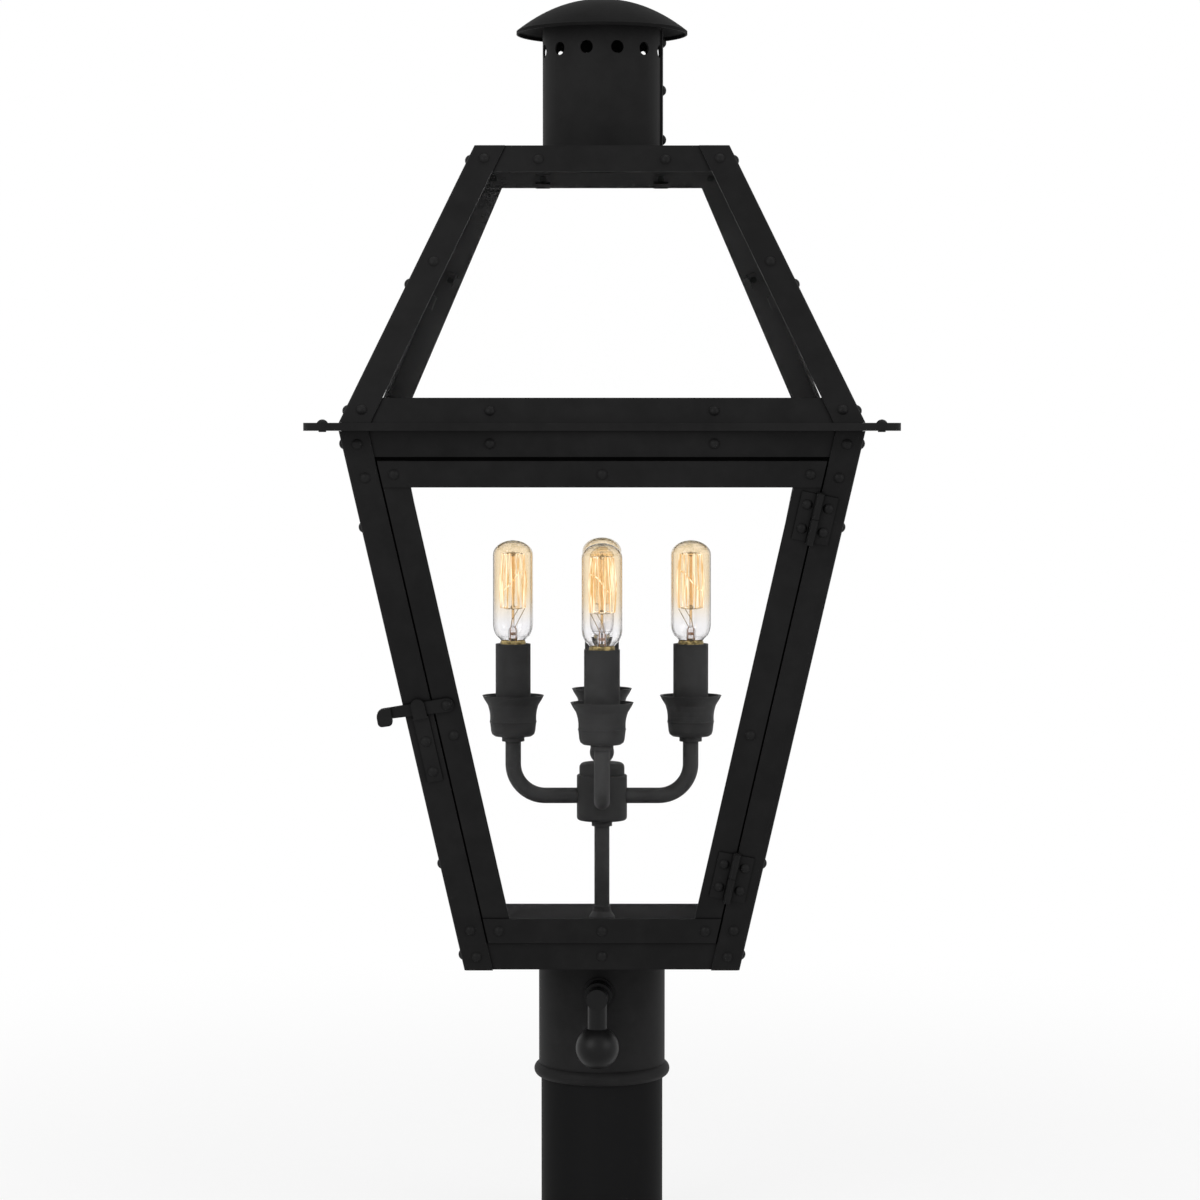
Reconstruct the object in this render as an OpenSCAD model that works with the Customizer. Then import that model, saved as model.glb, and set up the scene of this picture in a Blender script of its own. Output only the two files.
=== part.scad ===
// Four-sided lantern for the top of a post, with a glazed door and four electric candles
// Millimetres, front towards -Y, origin at the centre of the post's lower end

/* [Outline] */
// Half the width at the shoulders, where body and roof meet
shoulder_half = 152.5; // [142:0.5:162]
// Half the width of the body at its foot
foot_half = 83.2; // [78:0.1:92]
// Height of the body, from its foot to the rim plate
body_h = 325.1; // [300:0.1:350]
// Half the width of the roof at its crown
crown_half = 76.4; // [72:0.1:84]
// Height of the roof above the rim plate
roof_h = 166.1; // [155:0.1:185]

/* [Post] */
// Outside diameter of the post
post_d = 76.2; // [70:0.1:80]
// Wall of the post
post_wall = 3; // [2:0.5:5]
// Length of post below the lantern
post_show = 94; // [80:1:160]
// Gap between the post's top and the tray above it
post_seat = 0.3; // [0.1:0.1:0.8]

/* [Fitter] */
// Length of the tube that slips over the post
fitter_len = 79.8; // [74:0.1:95]
// Wall of the fitter
fitter_wall = 1.1; // [0.8:0.1:1.6]
// Gap all round between post and fitter
post_gap = 0.35; // [0.2:0.05:0.6]
// Width of the flange under the tray
flange_w = 12; // [9:0.5:16]
// Height of the rolled bead at the fitter's foot
bead_h = 8.8; // [7:0.2:10]
// How far the bead stands out
bead_out = 3; // [2:0.1:3.6]
// Diameter of the set screws
screw_d = 5.8; // [4:0.2:7]
// Angle of each set screw from straight back
screw_angle = 35; // [25:1:50]
// Height of the set screws above the fitter's foot
screw_rise = 42; // [30:1:50]
// Turn of the fitter about the post, clockwise seen from above
fitter_turn = 2.7; // [0:0.1:6]

/* [Dummy gas tap] */
// Drop from the tray to the tap's axis
tap_drop = 21.5; // [18:0.5:30]
// Diameter of the tap's barrel
tap_d = 16.6; // [15:0.1:18]
// Length of the barrel in front of the fitter
tap_len = 14; // [11:0.5:18]
// Diameter of the barrel's flange against the fitter
tap_flange_d = 19; // [18.5:0.5:26]
// Thickness of that flange
tap_flange_t = 1.2; // [1:0.1:3]
// Diameter of the spindle that the lever turns on
spindle_d = 6; // [4:0.5:7]
// Diameter of the lever
lever_d = 11.8; // [10:0.2:13]
// Diameter of the ball on the lever
ball_d = 26.4; // [22:0.1:30]
// Distance from the tap's axis to the middle of the ball
ball_reach = 30.2; // [26:0.2:33]

/* [Strips of the frame] */
// Width of each leg of the corner bars
bar_w = 16.8; // [15:0.2:19]
// Thickness of the corner bars
bar_t = 1.4; // [1.2:0.1:1.8]
// Outer bend radius of the corner bars
bend_r = 1.9; // [1.9:0.1:2.6]
// Thickness of the rails and of the tray
rail_t = 1.2; // [0.8:0.1:1.6]
// Width of the rails under the rim plate
head_rail_w = 15.8; // [14.6:0.2:18]
// Height of the tray's walls
tray_h = 16.2; // [14:0.1:18]
// Width of the rails at the foot of the roof
eave_rail_w = 16.7; // [15:0.1:19]
// Width of the crown's skirts, front and sides
crown_rail_w = 17.9; // [16:0.1:20]
// Width of the crown's back skirt
crown_back_w = 15.7; // [14:0.1:17]
// Width of the rails' flanges against the rim plate
rail_flange = 12; // [8:0.5:16]
// How far the corner bars run past the tray's foot
bar_over = 0.4; // [0:0.1:1.2]

/* [Rim plate] */
// Thickness of the rim plate
rim_t = 4.6; // [3:0.1:5]
// Radius of the rounded tips
tip_r = 11; // [9:0.5:13]
// How far the tip rivets stand out from the shoulders, each way
tip_out = 8.5; // [7:0.5:11]
// Overhang of the plate at the middle of each side
rim_over = 2.5; // [1.5:0.5:4]
// Width of the plate inside the shoulders
rim_inner = 16; // [14:0.5:22]

/* [Glass] */
// Thickness of the panes
glass_t = 3; // [2:0.5:4]
// Thickness of the spring clips
clip_t = 0.8; // [0.5:0.1:1]
// Width of the clips
clip_w = 9; // [6:0.5:12]
// How far a clip reaches over the glass
clip_reach = 2; // [1.6:0.1:3.5]

/* [Rivets] */
// Diameter of a rivet head
rivet_d = 6.4; // [5.4:0.1:7]
// Height of a rivet head
rivet_rise = 2; // [1.4:0.1:2.4]
// Diameter of a rivet's shank
shank_d = 3.2; // [2.4:0.1:3.6]
// Distance of the rivet line from a corner edge
rivet_in = 9; // [8.5:0.1:9.6]
// Distance of the rail rivets from the middle, at the shoulders
rail_rivet_x = 65; // [50:1:80]
// Distance of the crown's rivets from the middle
crown_rivet_x = 38; // [30:1:46]
// Height of the rafters' middle rivets above the rim plate, front and back
rafter_rivet_front = 95.1; // [80:0.1:110]
// Height of the rafters' middle rivets above the rim plate, on the sides
rafter_rivet_side = 82.4; // [70:0.1:100]
// Drop from the rim plate to the bars' upper rivets, sides and back
bar_rivet_high = 56.5; // [45:0.5:80]
// Drop from the rim plate to the bars' lower rivets, sides and back
bar_rivet_low = 260; // [230:0.5:280]

/* [Door] */
// Thickness of the door's strips
door_t = 1; // [0.8:0.1:1]
// Width of the door's strips
door_strip_w = 15.6; // [14.6:0.2:18]
// Gap between the door and the corner bars
door_gap = 1.2; // [1:0.1:2]
// Gap above the door
door_head_gap = 2; // [1.2:0.1:3]
// Drop from the rim plate to the rivets half way down the door
door_rivet_drop = 180.2; // [170:0.2:200]
// Gap below the door
door_foot_gap = 0.8; // [0.6:0.1:1.5]
// Thickness of the stop strips behind the door's edge
stop_t = 1.2; // [0.8:0.1:1.6]
// How far the stops reach behind the door
stop_reach = 2.4; // [1.6:0.1:2.6]

/* [Door hinges] */
// Length of a hinge barrel
knuckle_len = 31.5; // [28:0.5:36]
// Diameter of a hinge barrel
knuckle_d = 4.6; // [4:0.1:5]
// Diameter of a hinge pin
pin_d = 2.2; // [1.6:0.1:2.6]
// Width of a hinge leaf, from the pin
leaf_w = 10.8; // [10:0.1:12]
// Height of a hinge leaf
leaf_h = 29; // [26:0.5:30]
// Thickness of a hinge leaf
leaf_t = 0.9; // [0.7:0.1:1.2]
// Distance of the hinge rivets from the pin
leaf_rivet_x = 6.3; // [6:0.1:7]
// Spacing of the two rivets in a leaf
leaf_pitch = 14.6; // [12:0.1:16]
// Drop from the rim plate to the middle of the upper hinge
hinge_drop = 50.8; // [50:0.1:60]
// Rise from the body's foot to the middle of the lower hinge
hinge_rise = 58; // [50:0.5:70]

/* [Latch] */
// Drop from the rim plate to the latch pivot
latch_drop = 161.4; // [140:0.2:180]
// Length of the latch lever from pivot to tip
latch_len = 42; // [38:0.5:46]
// Width of the lever at its pivot
latch_w = 8.4; // [7.6:0.1:9]
// Width of the lever towards its tip
latch_tip_w = 6.7; // [6:0.1:7.6]
// Thickness of the lever
latch_t = 1.5; // [1:0.1:2]
// Angle that the lever hangs below level
latch_droop = 8.5; // [5:0.5:14]
// Width of the thumb tab
tab_w = 8.9; // [7:0.1:10]
// Drop of the thumb tab below the lever's centre line
tab_drop = 7.4; // [7:0.1:12]
// Thickness of the folded thumb tab
tab_t = 3.1; // [2:0.1:4]
// Width of the keeper strap
keeper_w = 9.2; // [8.2:0.1:10.4]
// Thickness of the keeper strap
keeper_t = 1.1; // [0.8:0.1:1.4]
// How far the keeper's tongue stands above the lever's centre line
tongue_up = 6.5; // [5.5:0.1:8]
// Length of the keeper below the lever's centre line
keeper_down = 46; // [44:0.5:50]
// Drop from the lever's centre line to the keeper's upper rivet
keeper_rivet_high = 20.6; // [14:0.2:26]
// Drop from the lever's centre line to the keeper's lower rivet
keeper_rivet_low = 39.6; // [34:0.2:40]

/* [Chimney] */
// Outside diameter of the chimney
chimney_d = 73.5; // [68:0.5:82]
// Wall of the chimney
chimney_wall = 1.2; // [0.8:0.1:2]
// Height of the cap's rim above the crown
cap_rise = 76.3; // [74:0.1:90]
// Depth of the chimney inside the crown
chimney_inside = 8; // [5:0.5:12]
// Number of vent holes
vents = 12; // [8:1:14]
// Diameter of a vent hole
vent_d = 8; // [6:0.2:10]
// Drop from the cap's rim to the vent holes
vent_drop = 13; // [11:0.2:16]
// Diameter of the cap
cap_d = 106; // [98:0.5:116]
// Height of the cap's dome
cap_h = 19.8; // [15:0.2:24]
// Fullness of the cap's dome, from nearly a cone at low values to flat-topped
cap_full = 2.1; // [1.4:0.1:2.6]
// Height of the plain band round the cap's edge
cap_lip = 1.8; // [0.6:0.1:4]
// Thickness of the cap
cap_t = 1.2; // [0.8:0.1:1.8]
// Overlap of the chimney's lapped seam
seam_w = 13; // [11:0.5:16]

/* [Candle cluster] */
// Height of the arms above the tray's floor
arm_rise = 95.5; // [85:0.1:110]
// Distance of each candle from the middle
arm_reach = 55.6; // [48:0.2:58]
// Diameter of the arm tubes
arm_d = 9.8; // [8:0.1:11]
// Bend radius of the arms
arm_bend = 20; // [16:0.5:24]
// Diameter of the hub
hub_d = 31.5; // [28:0.5:36]
// Height of the hub
hub_h = 28.7; // [24:0.1:34]
// Diameter of the stem
stem_d = 9.5; // [8:0.1:11]
// Diameter of the foot on the tray
foot_d = 26; // [22:0.5:32]
// Height of the nut on the foot
nut_h = 19.3; // [14:0.1:24]
// Diameter of the ball on the hub
finial_d = 15.2; // [12:0.2:18]

/* [Candles] */
// Height of the cups above the arms
cup_rise = 37.4; // [34:0.2:44]
// Height of a cup
cup_h = 25.6; // [24.8:0.2:30]
// Diameter of a cup's rim
cup_d = 38.6; // [35:0.1:42]
// Wall of a cup
cup_wall = 1.2; // [0.8:0.1:2]
// Height of a candle sleeve above its cup
sleeve_show = 32.3; // [24:0.1:40]
// Diameter of a candle sleeve
sleeve_d = 21.9; // [21:0.1:24]
// Wall of a sleeve
sleeve_wall = 1.5; // [1:0.1:1.6]
// Diameter of a bulb's brass base
base_d = 16; // [14:0.1:16.4]
// Length of a bulb's base inside its holder
base_len = 22; // [18:0.5:26]
// Diameter of a bulb's glass
bulb_d = 25; // [22:0.2:30]
// Height of a bulb's glass
bulb_h = 63.6; // [54:0.2:72]
// Height of the domed top of a bulb
bulb_dome = 8.9; // [6:0.1:12]
// Wall of a bulb's glass
bulb_wall = 0.8; // [0.5:0.1:1.2]
// Bare brass between a sleeve and its bulb's glass
base_show = 1.2; // [0.6:0.1:3]
// Diameter of the filament cage
cage_d = 16; // [10:0.2:18]
// Height of the filament cage
cage_h = 34.5; // [28:0.5:38]
// Drop from the bulb's top to the filament cage
cage_drop = 8.5; // [6:0.5:12]

/* [Hidden] */
$fn = 64;

// Working clearances
fit = 0.1;
loose = 0.3;
corner_fit = 0.8;

// Heights of the main joints
fitter_z = post_show;
body_z = fitter_z + fitter_len;
rim_z = body_z + body_h;
roof_z = rim_z + rim_t;
crown_z = roof_z + roof_h;
cap_z = crown_z + cap_rise;
reach = shoulder_half + 40;

// Outer radius of the fitter, and the bosses that its screws run in
fitter_r = post_d / 2 + post_gap + fitter_wall;
boss_rise = 2.5;
boss_in = 2;

// Lean of the walls and their size up the slope
body_lean = atan((shoulder_half - foot_half) / body_h);
roof_lean = atan((shoulder_half - crown_half) / roof_h);
body_len = body_h / cos(body_lean);
roof_len = roof_h / cos(roof_lean);
// A wall is its half width at the foot, its growth up the slope and its length
BODY = [foot_half, sin(body_lean), body_len];
ROOF = [shoulder_half, -sin(roof_lean), roof_len];
FRONT = 0;
RIGHT = 1;
BACK = 2;
LEFT = 3;

// Strips and depths, measured in from the outer face of the corner bars
tray_len = tray_h / cos(body_lean);
rail_back = bar_t + rail_t;
pane_depth = rail_back + fit;
corner_clear = rail_back + corner_fit;
tail_r = shank_d / 2 + 0.6;
tail_h = 0.7;
glass_back = tail_r + loose + clip_t + loose;
hole_d = shank_d + 2 * fit;

// Rivet lines up the slope of the body
head_y = body_len - head_rail_w / 2;
tray_y = tray_len / 2;
stop_head_y = body_len - head_rail_w - door_head_gap - 10;
stop_foot_y = tray_len + 8.6;
clip_head_y = (body_h - bar_rivet_high) / cos(body_lean);
clip_foot_y = (body_h - bar_rivet_low) / cos(body_lean);
// Rivet lines up the slope of the roof
eave_y = eave_rail_w / 2;
function crown_w(side) = side == BACK ? crown_back_w : crown_rail_w;
function crown_y(side) = roof_len - crown_w(side) / 2;
function rafter_y(side) = (side % 2 == 0 ? rafter_rivet_front : rafter_rivet_side) / cos(roof_lean);

// Door
door_in = bar_w + door_gap;
door_low = tray_len + door_foot_gap;
door_high = body_len - head_rail_w - door_head_gap;
door_mid = door_strip_w / 2;
stop_lap = 4.5;
door_clip_y = (body_h - door_rivet_drop) / cos(body_lean);
pin_lift = knuckle_d / 2 + 0.2;
seam_in = bar_w + door_gap / 2;

// Latch
latch_in = door_in + door_mid;
latch_y = (body_h - latch_drop) / cos(body_lean);
latch_lift = loose;
keeper_lift = latch_lift + latch_t + 0.5;

// Heights of the seam's rivets above the crown
SEAM_RISES = [9.7, 40.1, 69.6];

// Candle cluster
floor_z = body_z + rail_t;
arm_z = floor_z + arm_rise;
cup_z = arm_z + cup_rise;
rim_cup_z = cup_z + cup_h;
sleeve_z = cup_z + cup_wall + fit;
sleeve_top = rim_cup_z + sleeve_show;
bulb_z = sleeve_top + base_show;
holder_r = sleeve_d / 2 - sleeve_wall - fit;

black = [0.16, 0.16, 0.17];
soft_black = [0.22, 0.22, 0.23];

// Half the angle between two legs of a corner bar on walls that lean this much
function leg_angle(lean) = (180 - acos(pow(sin(lean), 2))) / 2;
// Across-wall place of a line parallel to the wall's edge
function side_x(wall, y, inset) = wall[0] + y * wall[1] - inset * sqrt(1 + pow(wall[1], 2));
function tilt(wall) = atan(wall[1]);
function arc(c, r, from, to, steps) =
    [for (i = [0:steps]) let (a = from + (to - from) * i / steps) c + r * [cos(a), sin(a)]];

// Rivets as [across, up, surface, grip]; the surface is how far the head's seat stands out
function pair(wall, y, grip) =
    [for (hand = [-1, 1]) [hand * side_x(wall, y, rivet_in), y, 0, grip]];
function mids(x, y, grip) = [for (hand = [-1, 1]) [hand * x, y, -bar_t, grip]];
function body_marks(side) = concat(
    pair(BODY, head_y, rail_back), pair(BODY, tray_y, rail_back),
    pair(BODY, side == FRONT ? stop_head_y : clip_head_y, bar_t + (side == FRONT ? stop_t : clip_t)),
    pair(BODY, side == FRONT ? stop_foot_y : clip_foot_y, bar_t + (side == FRONT ? stop_t : clip_t)),
    mids(rail_rivet_x, head_y, rail_t + (side == FRONT ? fit + stop_t : clip_t)),
    [[0, tray_y, -bar_t, rail_t + (side == FRONT ? fit + stop_t : clip_t)]]);
function roof_marks(side) = concat(
    pair(ROOF, eave_y, rail_back), pair(ROOF, crown_y(side), rail_back),
    pair(ROOF, rafter_y(side), bar_t + clip_t),
    mids(rail_rivet_x, eave_y, rail_t + clip_t), mids(crown_rivet_x, crown_y(side), rail_t + clip_t));

module on_body(side)
    rotate([0, 0, 90 * side]) translate([0, -foot_half, body_z]) rotate([90 + body_lean, 0, 0])
        children();

module on_roof(side)
    rotate([0, 0, 90 * side]) translate([0, -shoulder_half, roof_z]) rotate([90 - roof_lean, 0, 0])
        children();

module level(low, high)
    intersection() {
        children();
        translate([-reach, -reach, low]) cube([2 * reach, 2 * reach, high - low]);
    }

module sheet(depth, t) translate([0, 0, -depth - t]) linear_extrude(t) children();

// Outline of a strip across a wall, with both ends parallel to the wall's edges
module band(wall, low, high, inset)
    polygon([[-side_x(wall, low, inset), low], [side_x(wall, low, inset), low],
        [side_x(wall, high, inset), high], [-side_x(wall, high, inset), high]]);

// Outline of a strip up a wall, between two lines parallel to one edge
module upstrip(wall, low, high, outer, inner, hand)
    polygon([[hand * side_x(wall, low, outer), low], [hand * side_x(wall, high, outer), high],
        [hand * side_x(wall, high, inner), high], [hand * side_x(wall, low, inner), low]]);

module holes(marks, hand = 0)
    for (m = marks)
        if (hand == 0 || hand * m[0] > 0)
            translate([m[0], m[1], -3 * rail_back]) cylinder(d = hole_d, h = 4 * rail_back);

// Round-headed rivet through a grip of sheet, closed by a flat tail
module rivet(surface, grip) {
    head = rivet_d / 2;
    ball = (head * head + rivet_rise * rivet_rise) / (2 * rivet_rise);
    translate([0, 0, surface]) {
        intersection() {
            translate([0, 0, rivet_rise - ball]) sphere(r = ball, $fn = 40);
            cylinder(r = head, h = 2 * rivet_rise, $fn = 40);
        }
        translate([0, 0, -grip]) cylinder(d = shank_d, h = grip, $fn = 32);
        translate([0, 0, -grip - tail_h]) cylinder(r = tail_r, h = tail_h, $fn = 32);
    }
}

module rivets(marks) for (m = marks) translate([m[0], m[1], 0]) rivet(m[2], m[3]);

// Cross-section of a corner bar with a rounded bend at the origin, open towards -X
module bar_section(lean) {
    a = leg_angle(lean);
    bend = [-bend_r / sin(a), 0];
    leg = function (hand) [-cos(a), hand * sin(a)];
    inward = function (hand) [-sin(a), -hand * cos(a)];
    polygon(concat([bar_w * leg(1)], arc(bend, bend_r, 90 - a, a - 90, 4),
        [bar_w * leg(-1), bar_w * leg(-1) + bar_t * inward(-1)],
        arc(bend, bend_r - bar_t, a - 90, 90 - a, 4), [bar_w * leg(1) + bar_t * inward(1)]));
}

// Corner bar along the edge between side and the next one round
module corner_bar(side, half, z, lean, height)
    rotate([0, 0, 90 * side - 45]) translate([sqrt(2) * half, 0, z])
        rotate([0, atan(sqrt(2) * tan(lean)), 0])
            translate([0, 0, -bar_w]) linear_extrude(height / cos(lean) * 1.05 + 2 * bar_w)
                bar_section(lean);

module body_bar(side)
    difference() {
        level(body_z - bar_over, rim_z - fit) corner_bar(side, foot_half, body_z, body_lean, body_h);
        on_body(side) holes(body_marks(side), 1);
        on_body((side + 1) % 4) holes(body_marks((side + 1) % 4), -1);
    }

module front_left_bar()
    color(black) difference() {
        body_bar(LEFT);
        at_keeper() keeper_holes();
    }

module front_right_bar()
    color(black) difference() {
        body_bar(FRONT);
        at_hinges() leaf_holes(1);
    }

module back_left_bar() color(black) body_bar(BACK);

module back_right_bar() color(black) body_bar(RIGHT);

// Horizontal flange of a rail along one side, mitred to its neighbours
module mitred_flange(outer, inner)
    linear_extrude(rail_t)
        polygon([[-outer + corner_fit, -outer], [outer - corner_fit, -outer],
            [inner - corner_fit, -inner], [-inner + corner_fit, -inner]]);

module head_rail(side)
    color(black) difference() {
        union() {
            level(body_z, rim_z) on_body(side)
                sheet(bar_t, rail_t) band(BODY, body_len - head_rail_w, body_len + rail_back, corner_clear);
            rotate([0, 0, 90 * side]) translate([0, 0, rim_z - rail_t])
                mitred_flange(shoulder_half - rail_back / cos(body_lean), shoulder_half - rail_flange);
        }
        on_body(side) holes([for (m = body_marks(side)) if (m[1] == head_y) m]);
    }

module front_head_rail() head_rail(FRONT);
module right_head_rail() head_rail(RIGHT);
module back_head_rail() head_rail(BACK);
module left_head_rail() head_rail(LEFT);

// Solid core of the body and of the roof, so far in from the outer faces
module body_core(depth)
    intersection_for(side = [0:3])
        on_body(side) translate([-reach, -reach, -depth - 2 * reach])
            cube([2 * reach, 2 * reach + body_len, 2 * reach]);

module roof_core(depth)
    intersection_for(side = [0:3])
        on_roof(side) translate([-reach, -reach, -depth - 2 * reach])
            cube([2 * reach, 2 * reach + roof_len, 2 * reach]);

// Folded tray that closes the foot of the body and carries the cluster
module base_tray()
    color(black) difference() {
        level(body_z, body_z + tray_h) body_core(bar_t);
        level(body_z + rail_t, body_z + tray_h + 1) body_core(rail_back);
        for (side = [0:3])
            on_body(side) holes([for (m = body_marks(side)) if (m[1] == tray_y) m]);
        translate([0, 0, body_z - 1]) cylinder(d = stem_d + 1, h = rail_t + 2);
        flange_marks() translate([0, 0, -5]) cylinder(d = hole_d, h = 10);
    }

module body_pane(side)
    color([0.85, 0.92, 0.92, 0.35]) on_body(side) sheet(pane_depth, glass_t)
        band(BODY, tray_y + glass_back, head_y - glass_back, rivet_in + glass_back);

module right_pane() body_pane(RIGHT);
module back_pane() body_pane(BACK);
module left_pane() body_pane(LEFT);

// Strips behind the front bars, the head rail and the tray's edge that the door closes against
module door_stops()
    color(black) {
        for (hand = [-1, 1])
            difference() {
                on_body(FRONT) sheet(bar_t, stop_t)
                    upstrip(BODY, tray_len + corner_fit, door_high + door_head_gap - corner_fit,
                        corner_clear + 2, door_in + stop_reach, hand);
                on_body(FRONT) holes([for (m = body_marks(FRONT))
                    if (m[1] == stop_head_y || m[1] == stop_foot_y) m], hand);
                at_hinges() leaf_holes(1);
                at_keeper() keeper_holes();
            }
        cross_stop(door_high - stop_lap, head_y + 4.5, head_y);
        cross_stop(tray_y - 4, door_low + stop_lap, tray_y);
    }

module cross_stop(low, high, rivet_y)
    difference() {
        on_body(FRONT) sheet(rail_back + fit, stop_t) band(BODY, low, high, rivet_in + 6);
        on_body(FRONT) holes([for (m = body_marks(FRONT)) if (m[1] == rivet_y) m]);
    }

// Spring clip under a rivet: it steps down past the glass edge and reaches over the pane
module clip(pad, glass) {
    edge = glass_back;
    over = glass + glass_t + fit;
    difference() {
        union() {
            translate([-clip_w / 2, -tail_r - 0.4, -pad - clip_t])
                cube([clip_w, tail_r + 0.4 + edge - loose, clip_t]);
            translate([-clip_w / 2, edge - loose - clip_t, -over - clip_t])
                cube([clip_w, clip_t, over + clip_t - pad]);
            translate([-clip_w / 2, edge - loose - clip_t, -over - clip_t])
                cube([clip_w, loose + clip_t + clip_reach, clip_t]);
        }
        translate([0, 0, -pad - clip_t - 1]) cylinder(d = hole_d, h = clip_t + 2);
    }
}

module clips_up(wall, y, pad)
    for (hand = [-1, 1])
        translate([hand * side_x(wall, y, rivet_in), y, 0])
            rotate(hand * (90 - tilt(wall))) clip(pad, pane_depth);

module glass_clips()
    color([0.6, 0.55, 0.4]) {
        for (side = [RIGHT, BACK, LEFT])
            on_body(side) {
                translate([0, tray_y, 0]) clip(rail_back, pane_depth);
                for (hand = [-1, 1])
                    translate([hand * rail_rivet_x, head_y, 0]) rotate(180) clip(rail_back, pane_depth);
                clips_up(BODY, clip_head_y, bar_t);
                clips_up(BODY, clip_foot_y, bar_t);
            }
        for (side = [0:3])
            on_roof(side) {
                for (hand = [-1, 1]) {
                    translate([hand * rail_rivet_x, eave_y, 0]) clip(rail_back, pane_depth);
                    translate([hand * crown_rivet_x, crown_y(side), 0]) rotate(180)
                        clip(rail_back, pane_depth);
                }
                clips_up(ROOF, rafter_y(side), bar_t);
            }
    }

module flange_marks()
    for (i = [0:3])
        rotate(45 + 90 * i)
            translate([fitter_r + flange_w / 2, 0, body_z - rail_t])
                rotate([180, 0, 0]) children();

module wall_rivets()
    color(soft_black) {
        for (side = [0:3]) on_body(side) rivets(body_marks(side));
        at_hinges() leaf_rivets(1, leaf_t + bar_t + stop_t);
        at_keeper() keeper_rivets();
        flange_marks() rivet(0, 2 * rail_t);
    }

// Square plate with hollow sides and four rounded tips
module rim_plate() {
    tip = shoulder_half + tip_out;
    edge = shoulder_half + rim_over;
    sag = tip + tip_r - edge;
    hollow = (pow(tip, 2) + pow(sag, 2)) / (2 * sag);
    open = shoulder_half - rim_inner;
    color(black) translate([0, 0, rim_z]) difference() {
        union() {
            translate([-tip - tip_r, -tip, 0]) cube([2 * (tip + tip_r), 2 * tip, rim_t]);
            translate([-tip, -tip - tip_r, 0]) cube([2 * tip, 2 * (tip + tip_r), rim_t]);
            for (i = [0:3]) rotate(90 * i) translate([tip, tip, 0]) cylinder(r = tip_r, h = rim_t);
        }
        for (i = [0:3])
            rotate(90 * i) translate([0, -edge - hollow, -1])
                cylinder(r = hollow, h = rim_t + 2, $fn = 200);
        translate([-open, -open, -1]) cube([2 * open, 2 * open, rim_t + 2]);
        for (i = [0:3]) rotate(90 * i) translate([tip, tip, -1]) cylinder(d = hole_d, h = rim_t + 2);
    }
}

module rafter(side)
    color(black) difference() {
        level(roof_z + fit, crown_z)
            corner_bar(side, shoulder_half, roof_z, -roof_lean, roof_h);
        on_roof(side) holes(roof_marks(side), 1);
        on_roof((side + 1) % 4) holes(roof_marks((side + 1) % 4), -1);
    }

module front_left_rafter() rafter(LEFT);
module front_right_rafter() rafter(FRONT);
module back_left_rafter() rafter(BACK);
module back_right_rafter() rafter(RIGHT);

module eave_rail(side)
    color(black) difference() {
        level(roof_z, crown_z) union() {
            on_roof(side) sheet(bar_t, rail_t) band(ROOF, -rail_back, eave_rail_w, corner_clear);
            rotate([0, 0, 90 * side]) translate([0, 0, roof_z])
                mitred_flange(shoulder_half - rail_back / cos(roof_lean), shoulder_half - rail_flange);
        }
        on_roof(side) holes([for (m = roof_marks(side)) if (m[1] == eave_y) m]);
    }

module front_eave_rail() eave_rail(FRONT);
module right_eave_rail() eave_rail(RIGHT);
module back_eave_rail() eave_rail(BACK);
module left_eave_rail() eave_rail(LEFT);

// Pressed pan that closes the roof, with a skirt down each side and a hole for the chimney
module crown_pan() {
    skirt = crown_rail_w * cos(roof_lean);
    short = crown_back_w * cos(roof_lean);
    back = crown_half + short * tan(roof_lean) - rail_back / cos(roof_lean);
    color(black) difference() {
        level(crown_z - skirt, crown_z) roof_core(bar_t);
        level(crown_z - skirt - 1, crown_z - rail_t) roof_core(rail_back);
        translate([-reach, back, crown_z - skirt - 1]) cube([2 * reach, reach, skirt + 1 - short]);
        for (side = [0:3])
            on_roof(side) holes([for (m = roof_marks(side)) if (m[1] == crown_y(side)) m]);
        translate([0, 0, crown_z - rail_t - 1]) cylinder(d = chimney_d + 2 * fit, h = rail_t + 2);
    }
}

module roof_pane(side)
    color([0.85, 0.92, 0.92, 0.35]) on_roof(side) sheet(pane_depth, glass_t)
        band(ROOF, eave_y + glass_back, crown_y(side) - glass_back, rivet_in + glass_back);

module front_roof_pane() roof_pane(FRONT);
module right_roof_pane() roof_pane(RIGHT);
module back_roof_pane() roof_pane(BACK);
module left_roof_pane() roof_pane(LEFT);

// Rivets of the roof, of the rim plate's tips and of the chimney's seam
module roof_rivets() {
    tip = shoulder_half + tip_out;
    color(soft_black) {
        for (side = [0:3]) on_roof(side) rivets(roof_marks(side));
        for (i = [0:3])
            rotate(90 * i) translate([tip, tip, roof_z]) rivet(0, rim_t);
        seam_marks() rivet(0, 2 * chimney_wall + fit);
    }
}

module seam_marks()
    for (rise = SEAM_RISES)
        translate([chimney_d / 2 + chimney_wall, 0, crown_z + rise]) rotate([0, 90, 0]) children();

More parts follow.
